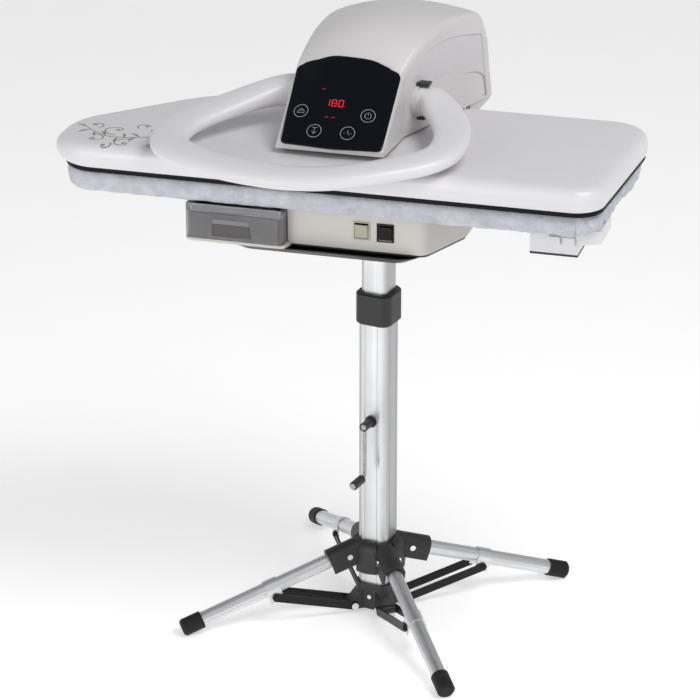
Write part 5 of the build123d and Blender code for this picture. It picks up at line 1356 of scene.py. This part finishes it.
@dataclass(frozen=True)
class Handle:
    """Oval loop swept through measured stations in the handle's own plane; millimetres."""

    pivot: Point3 = (0.0, 40.0, 964.0)
    tilt: float = 8.5
    sides: int = 44
    squareness: float = 2.45
    stations: Rows = (
        (-104.0, 0.0, 54.0, 54.0), (-122.0, -3.0, 54.0, 53.0), (-144.0, -15.0, 56.0, 48.0),
        (-170.0, -38.0, 59.0, 40.0), (-202.0, -76.0, 62.0, 34.0), (-236.0, -120.0, 64.0, 31.0),
        (-261.0, -162.0, 66.0, 30.0), (-271.0, -203.0, 67.0, 30.0), (-263.0, -241.0, 66.0, 30.0),
        (-232.0, -271.0, 64.0, 30.0), (-176.0, -296.0, 62.0, 30.0), (-106.0, -314.0, 61.0, 30.0),
        (-36.0, -321.0, 60.0, 30.0), (30.0, -311.0, 60.0, 30.0), (88.0, -285.0, 60.0, 30.0),
        (138.0, -254.0, 61.0, 30.0), (177.0, -225.0, 62.0, 30.0), (198.0, -192.0, 63.0, 30.0),
        (203.0, -154.0, 63.0, 30.0), (197.0, -113.0, 64.0, 31.0), (181.0, -72.0, 64.0, 34.0),
        (162.0, -38.0, 63.0, 40.0), (143.0, -13.0, 59.0, 48.0), (127.0, -2.0, 53.0, 51.0),
        (114.0, 0.0, 52.0, 52.0),
    )

    def build(self, finisher: Finisher) -> None:
        """Sweeps the loop."""
        tilt = math.radians(self.tilt)
        fore = Vector((0.0, math.cos(tilt), math.sin(tilt)))
        up = Vector((0.0, -math.sin(tilt), math.cos(tilt)))
        right, pivot = Vector((1.0, 0.0, 0.0)), Vector(self.pivot)
        rows = spline(self.stations, LINE_STEPS)
        spots = [pivot + right * row[0] + fore * row[1] for row in rows]
        rings = []
        for index, row in enumerate(rows):
            run = (spots[min(index + 1, len(rows) - 1)] - spots[max(index - 1, 0)]).normalized()
            side = run.cross(up)
            ring = []
            for way in round_about(0.0, 0.0, 1.0, self.sides)[:-1]:
                wide, high = (math.copysign(abs(part) ** (2 / self.squareness), part) for part in way)
                ring.append((spots[index] + side * wide * row[2] / 2 + up * high * row[3] / 2) * MM)
            rings.append(ring)
        finisher.fit(loft("handle_loop", rings), finisher.slots["handle"], "handle", node="handle")


@dataclass(frozen=True)
class Panel:
    """Glass and prints of the black touch panel, in millimetres across and up its face."""

    foot: Point3 = (0.0, -135.0, 925.0)
    lean: float = 37.42
    glass: Outline = Outline(
        (
            (-87.0, -1.0), (2.0, -6.5), (91.0, -1.0), (93.0, 155.0), (42.0, 175.0), (-31.0, 178.0),
            (-92.5, 158.0),
        ),
        (9.0, 300.0, 9.0, 14.0, 70.0, 70.0, 14.0),
    )
    glass_step: float = 5.0
    middle: Point2 = (0.0, 84.0)
    shell_rows: Rows = (
        (0.985, -1.0), (0.998, -0.6), (1.0, 0.2), (1.0, 1.0), (0.995, 1.7), (0.98, 2.0), (0.9, 2.1),
        (0.78, 2.1), (0.64, 2.1), (0.5, 2.1), (0.36, 2.1), (0.22, 2.1), (0.1, 2.1),
    )
    reach: tuple[float, float, float, float] = (-84.0, 82.0, 10.0, 166.0)
    keys: tuple[Point2, ...] = ((-64.3, 64.6), (-32.7, 26.7), (26.1, 27.6), (54.0, 65.2))
    key_radius: float = 12.3
    key_line: float = 1.1
    icon_line: float = 0.9
    icons: tuple[tuple[tuple[Point2, ...], ...], ...] = (
        (
            ((-6.5, -3.5), (6.5, -3.5), (5.5, 1.0), (1.5, 3.6), (-2.5, 3.6), (-6.5, -3.5)),
            ((-1.5, 0.4), (3.0, 0.4)),
        ),
        (((0.0, 6.5), (0.0, -5.0)), ((-4.0, -1.0), (0.0, -5.5), (4.0, -1.0)), ((-5.0, 6.5), (5.0, 6.5))),
        (((0.0, 6.0), (0.0, 0.0), (4.2, -3.0)), ((-6.8, 0.0), (-5.2, 0.0)), ((6.8, 0.0), (5.2, 0.0))),
        (
            (
                (-2.6, 5.2), (-5.4, 1.6), (-5.0, -2.8), (-1.6, -5.8), (2.4, -5.6), (5.4, -2.0), (5.0, 2.2),
                (2.6, 5.2),
            ),
            ((0.0, 7.6), (0.0, 1.0)),
        ),
    )
    digits: str = "180"
    digit_size: Point2 = (7.4, 12.4)
    digit_start: Point2 = (-24.5, 76.8)
    digit_step: float = 12.0
    digit_line: float = 1.7
    lamps: tuple[Point2, ...] = ((-33.0, 109.5), (-17.0, 55.1), (-5.0, 55.1))
    lamp_half: float = 3.0
    lamp_line: float = 2.4

    def strokes(self, digit: str) -> list[tuple[Point2, Point2]]:
        """Lit segments of a seven-segment digit, in shares of its cell."""
        places = {
            "a": ((0, 1), (1, 1)), "b": ((1, 1), (1, 0.5)), "c": ((1, 0.5), (1, 0)), "d": ((0, 0), (1, 0)),
            "e": ((0, 0.5), (0, 0)), "f": ((0, 1), (0, 0.5)), "g": ((0, 0.5), (1, 0.5)),
        }
        lit = {"0": "abcdef", "1": "bc", "8": "abcdefg"}[digit]
        return [places[name] for name in lit]

    def cover(self, sheet: Sheet) -> bpy.types.Object:
        """Glass that follows the panel's bow and carries on past its lower edge.

        Args:
            sheet: Drawing plane over the model's own panel.

        Returns:
            The glass.
        """
        left, right, low, high = self.reach
        rings = []
        for share, rise in self.shell_rows:
            ring = []
            for point, _ in self.glass.edge(self.glass_step):
                x, y = (centre + (at - centre) * share for centre, at in zip(self.middle, point))
                bow = sheet.bow(min(right, max(left, x)), min(high, max(low, y)), self.middle)
                ring.append(sheet.above(x, y, bow + rise))
            rings.append(ring)
        return loft("panel_cover", rings)

    def key_prints(self, sheet: Sheet) -> list[bpy.types.Object]:
        """Circle and sign of each key."""
        prints = []
        for (x, y), icon in zip(self.keys, self.icons):
            prints.append(sheet.ring("key", (x, y), self.key_radius, self.key_line))
            for line in icon:
                spots = [(x + across, y + up) for across, up in line]
                prints += [sheet.bar("icon", *ends, self.icon_line) for ends in zip(spots, spots[1:])]
        return prints

    def digit_prints(self, sheet: Sheet) -> list[bpy.types.Object]:
        """Lit segments of the display."""
        (start, foot), (wide, high) = self.digit_start, self.digit_size
        prints = []
        for place, digit in enumerate(self.digits):
            left = start + place * self.digit_step
            for ends in self.strokes(digit):
                spots = [(left + x * wide, foot + y * high) for x, y in ends]
                prints.append(sheet.bar("segment", *spots, self.digit_line))
        return prints

    def build(self, finisher: Finisher) -> None:
        """Makes the glass and prints the keys, the lit digits and the lamps."""
        finisher.dress("panel_board")
        lean = math.radians(self.lean)
        up = Vector((0.0, math.cos(lean), math.sin(lean)))
        plane = Vector(self.foot) * MM, Vector((1.0, 0.0, 0.0)), up
        glass = self.cover(Sheet(*plane, Surface(finisher.frame["nodes"]["control_panel"])))
        finisher.fit(glass, "panel_glass", "arm", node="control_panel")
        sheet, half = Sheet(*plane, Surface(glass)), self.lamp_half
        lamps = [sheet.bar("lamp", (x - half, y), (x + half, y), self.lamp_line) for x, y in self.lamps]
        for name, prints, finish in (
            ("panel_keys", self.key_prints(sheet), "key_ink"),
            ("panel_digits", self.digit_prints(sheet), "digit_glow"),
            ("panel_lamps", lamps, "faint_glow"),
        ):
            finisher.fit(join_pieces(name, prints), finish, "arm")


@dataclass(frozen=True)
class Head:
    """Moulded head: its shell and right cover eased to a fuller back, pivot bosses, and black stops of painted
    shadow in the gaps beside the handle; millimetres.
    """

    lift: float = 6.0
    lift_under: float = 924.0
    lift_front: Point2 = (-50.0, -110.0)
    lift_fade: float = 12.0
    fuller: Rows = (
        (910.0, 0.0), (968.0, 5.0), (1022.0, 11.0), (1045.0, 13.0), (1062.0, 9.0), (1095.0, 2.0),
    )
    fuller_y: Point2 = (110.0, 214.0)
    fuller_x: Point2 = (70.0, 160.0)
    cover_back: Point3 = (250.0, 914.0, 0.328)
    cover_reach: float = 60.0
    cover_slide: Point2 = (4.6, 13.0)
    pivot: Point2 = (40.0, 964.0)
    bosses: tuple[Point2, ...] = ((94.0, 112.6), (-86.0, -102.6))
    boss_sides: int = 48
    boss_rows: Rows = ((0.0, 29.0), (0.9, 29.0), (0.98, 28.4), (1.0, 26.4), (1.0, 12.0))
    # Low and high corners of black blocks of painted shadow in the gaps beside the handle's bosses, shaped as
    # stops for the handle.
    stops: tuple[tuple[Point3, Point3], ...] = (
        ((100.0, 30.0, 991.8), (130.0, 50.0, 997.6)), ((100.0, 32.0, 930.4), (122.0, 48.0, 936.2)),
    )
    skirt_plan: tuple[Point2, ...] = (
        (207.5, 911.0), (264.5, 911.0), (262.0, 903.5), (228.0, 889.0), (207.5, 889.0),
    )
    skirt_side: Point3 = (160.6, 207.5, 0.42)
    skirt_wall: float = 9.0
    skirt_round: float = 1.5
    shadow_block_round: float = 1.6

    def eased(self, point: Vector, cover: bool) -> Vector:
        """Place of a point of the model's head in the eased form.

        Args:
            point: The point, in millimetres.
            cover: Whether it belongs to the side cover, which also reaches further back.

        Returns:
            The new place.
        """
        x, y, z = point
        share = 0.0
        for (low, less), (high, more) in zip(self.fuller, self.fuller[1:]):
            if low <= z <= high:
                share = less + (more - less) * (z - low) / (high - low)
        wide = smooth((x - self.fuller_x[0]) / (self.fuller_x[1] - self.fuller_x[0]))
        deep = smooth((y - self.fuller_y[0]) / (self.fuller_y[1] - self.fuller_y[0]))
        moved = Vector((x + share * wide * deep, y, z))
        if cover:
            back = self.cover_back[0] - (z - self.cover_back[1]) * self.cover_back[2]
            slide = smooth((y - back + self.cover_reach) / self.cover_reach)
            moved += Vector((self.cover_slide[0] * slide, self.cover_slide[1] * slide, 0.0))
        start, full = self.lift_front
        front = smooth((start - y) / (start - full))
        moved.z += self.lift * front * max(0.0, min(1.0, (self.lift_under - z) / self.lift_fade))
        return moved

    def eased_piece(self, finisher: Finisher, name: str, node: str, cover: bool) -> None:
        """Makes the eased copy of one of the model's pieces and puts it in its place."""
        mesh = finisher.frame["nodes"][node].data.copy()
        for vertex in mesh.vertices:
            vertex.co = self.eased(vertex.co / MM, cover) * MM
        finisher.fit(in_scene(name, mesh), finisher.slots[node], "arm", node=node)

    def boss(self, start: float, end: float) -> bpy.types.Object:
        """Short drum on the head's side that the handle turns on."""
        return loft("boss", [
            [Vector((start + (end - start) * share, y, z)) * MM
             for y, z in round_about(*self.pivot, radius, self.boss_sides)[:-1]]
            for share, radius in self.boss_rows
        ])

    def skirt(self) -> bpy.types.Object:
        """Lower back corner of the right side, down beside the shoe."""
        base, start, slope = self.skirt_side
        outer = [Vector((base + (y - start) * slope, y, z)) * MM for y, z in self.skirt_plan]
        return prism("head_skirt", outer, (-self.skirt_wall, 0.0, 0.0), self.skirt_round)

    def build(self, finisher: Finisher) -> None:
        """Dresses the head and adds its bosses, its black stops of painted shadow and its skirt."""
        finisher.dress("arm_frame", "side_cover_left", "handle_shaft")
        self.eased_piece(finisher, "head_skin", "head_shell", False)
        self.eased_piece(finisher, "cover_right", "side_cover_right", True)
        bosses = creased(join_pieces("pivot_bosses", [self.boss(*ends) for ends in self.bosses]))
        stops = []
        # Dark blocks that paint the shadow of the gaps where the handle's arm passes.
        for low, high in self.stops:
            plan = ((low[0], low[1]), (high[0], low[1]), (high[0], high[1]), (low[0], high[1]))
            stops.append(prism("stop", level(plan, low[2]), (0.0, 0.0, high[2] - low[2])))
        finisher.fit(bosses, "head_plastic", "arm")
        finisher.fit(rounded(join_pieces("handle_stops", stops), self.shadow_block_round), "black_plastic", "arm")
        finisher.fit(self.skirt(), "side_plastic", "arm")


@dataclass(frozen=True)
class Pad:
    """Padded cover of the board, drawn round the bed by its gathered hem; lengths in millimetres."""

    outline: Outline = Outline()
    step: float = 3.2
    rows: Rows = (
        (26.2, 0.0, 834.3, 0.0), (26.2, 0.0, 828.0, 0.0), (26.0, 0.0, 823.4, 0.05), (24.0, 3.0, 821.0, 0.4),
        (20.0, 7.0, 820.0, 0.8), (16.0, 10.0, 820.6, 1.0), (13.0, 10.0, 823.4, 1.0), (10.6, 10.0, 828.6, 0.8),
        (9.2, 10.0, 835.0, 0.55), (8.6, 10.0, 842.0, 0.4), (9.2, 10.0, 849.0, 0.3), (11.6, 10.0, 854.4, 0.2),
        (16.0, 10.0, 857.4, 0.12), (22.0, 9.0, 858.3, 0.05), (32.0, 6.0, 858.6, 0.0), (46.0, 3.0, 858.6, 0.0),
    )
    gather: float = 2.6
    crease: float = 1.9
    hem_wave: float = 1.3
    end_from: float = 250.0
    end_to: float = 470.0
    end_more: float = 2.2
    hem_top: float = 835.0
    fold_ripple: Point3 = (0.034, 0.012, 4.2)
    fold_gain: float = 3.2
    long_ripple: Point3 = (0.016, 0.05, 9.7)
    long_lean: float = 3.125
    long_share: float = 0.8
    fine_ripple: Point3 = (0.09, 0.09, 1.3)
    fine_share: float = 0.3
    wave_ripple: Point3 = (0.03, 0.5, 7.1)

    def ripple(self, walk: float, height: float, scale: Point3) -> float:
        """Noise over the cover's side.

        Args:
            walk: Place along the edge.
            height: Place up the side.
            scale: Scale along the edge, scale up the side, and the noise's own layer.

        Returns:
            A value about 0.
        """
        return noise.noise(Vector((walk * scale[0], height * scale[1], scale[2])))

    def fold(self, walk: float, height: float) -> float:
        """Depth of the narrow valleys that the drawstring pulls, from 0 to 1."""
        ridge = abs(self.ripple(walk, height, self.fold_ripple)) * self.fold_gain
        return (1.0 - min(1.0, ridge)) ** 2

    def skin(self) -> list[list[Vector]]:
        """Rings of the cover, with its gathers, creases and wavy hem."""
        edge = self.outline.edge(self.step)
        rings = []
        for inset, nose, height, slack in spline(self.rows, ROW_STEPS):
            ring = []
            walk = 0.0
            for index, (point, out) in enumerate(edge):
                walk += (point - edge[index - 1][0]).length if index else 0.0
                more = 1.0 + self.end_more * smooth((point.x - self.end_from) / (self.end_to - self.end_from))
                bent = self.ripple(walk + self.long_lean * height, height, self.long_ripple)
                fine = self.ripple(walk, height, self.fine_ripple)
                loose = max(0.0, slack)
                crease = self.crease * min(1.0, 2 * loose) * (bent * self.long_share + fine * self.fine_share)
                dent = more * (self.gather * loose * self.fold(walk, height) + crease)
                wave = self.hem_wave * loose * more * self.ripple(walk, 1.0, self.wave_ripple)
                drop = wave if height < self.hem_top else 0.0
                ring.append(self.outline.spot(point, out, inset + dent, nose, height + drop))
            rings.append(ring)
        return rings

    def build(self, finisher: Finisher) -> None:
        """Makes the cover in place of the plain pad."""
        piece = loft("pad_cover", self.skin())
        finisher.fit(piece, finisher.slots["pad"], "top", node="pad")


def main() -> None:
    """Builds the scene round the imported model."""
    logging.basicConfig(level=logging.INFO, format="%(name)s: %(message)s")
    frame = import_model()
    finisher = Finisher(frame)
    Studio().build(finisher)
    for assembly in (Stand(), Base(), Switches(), Shoe(), Head(), Panel(), Handle(), Pad()):
        assembly.build(finisher)


if __name__ == "__main__":
    main()
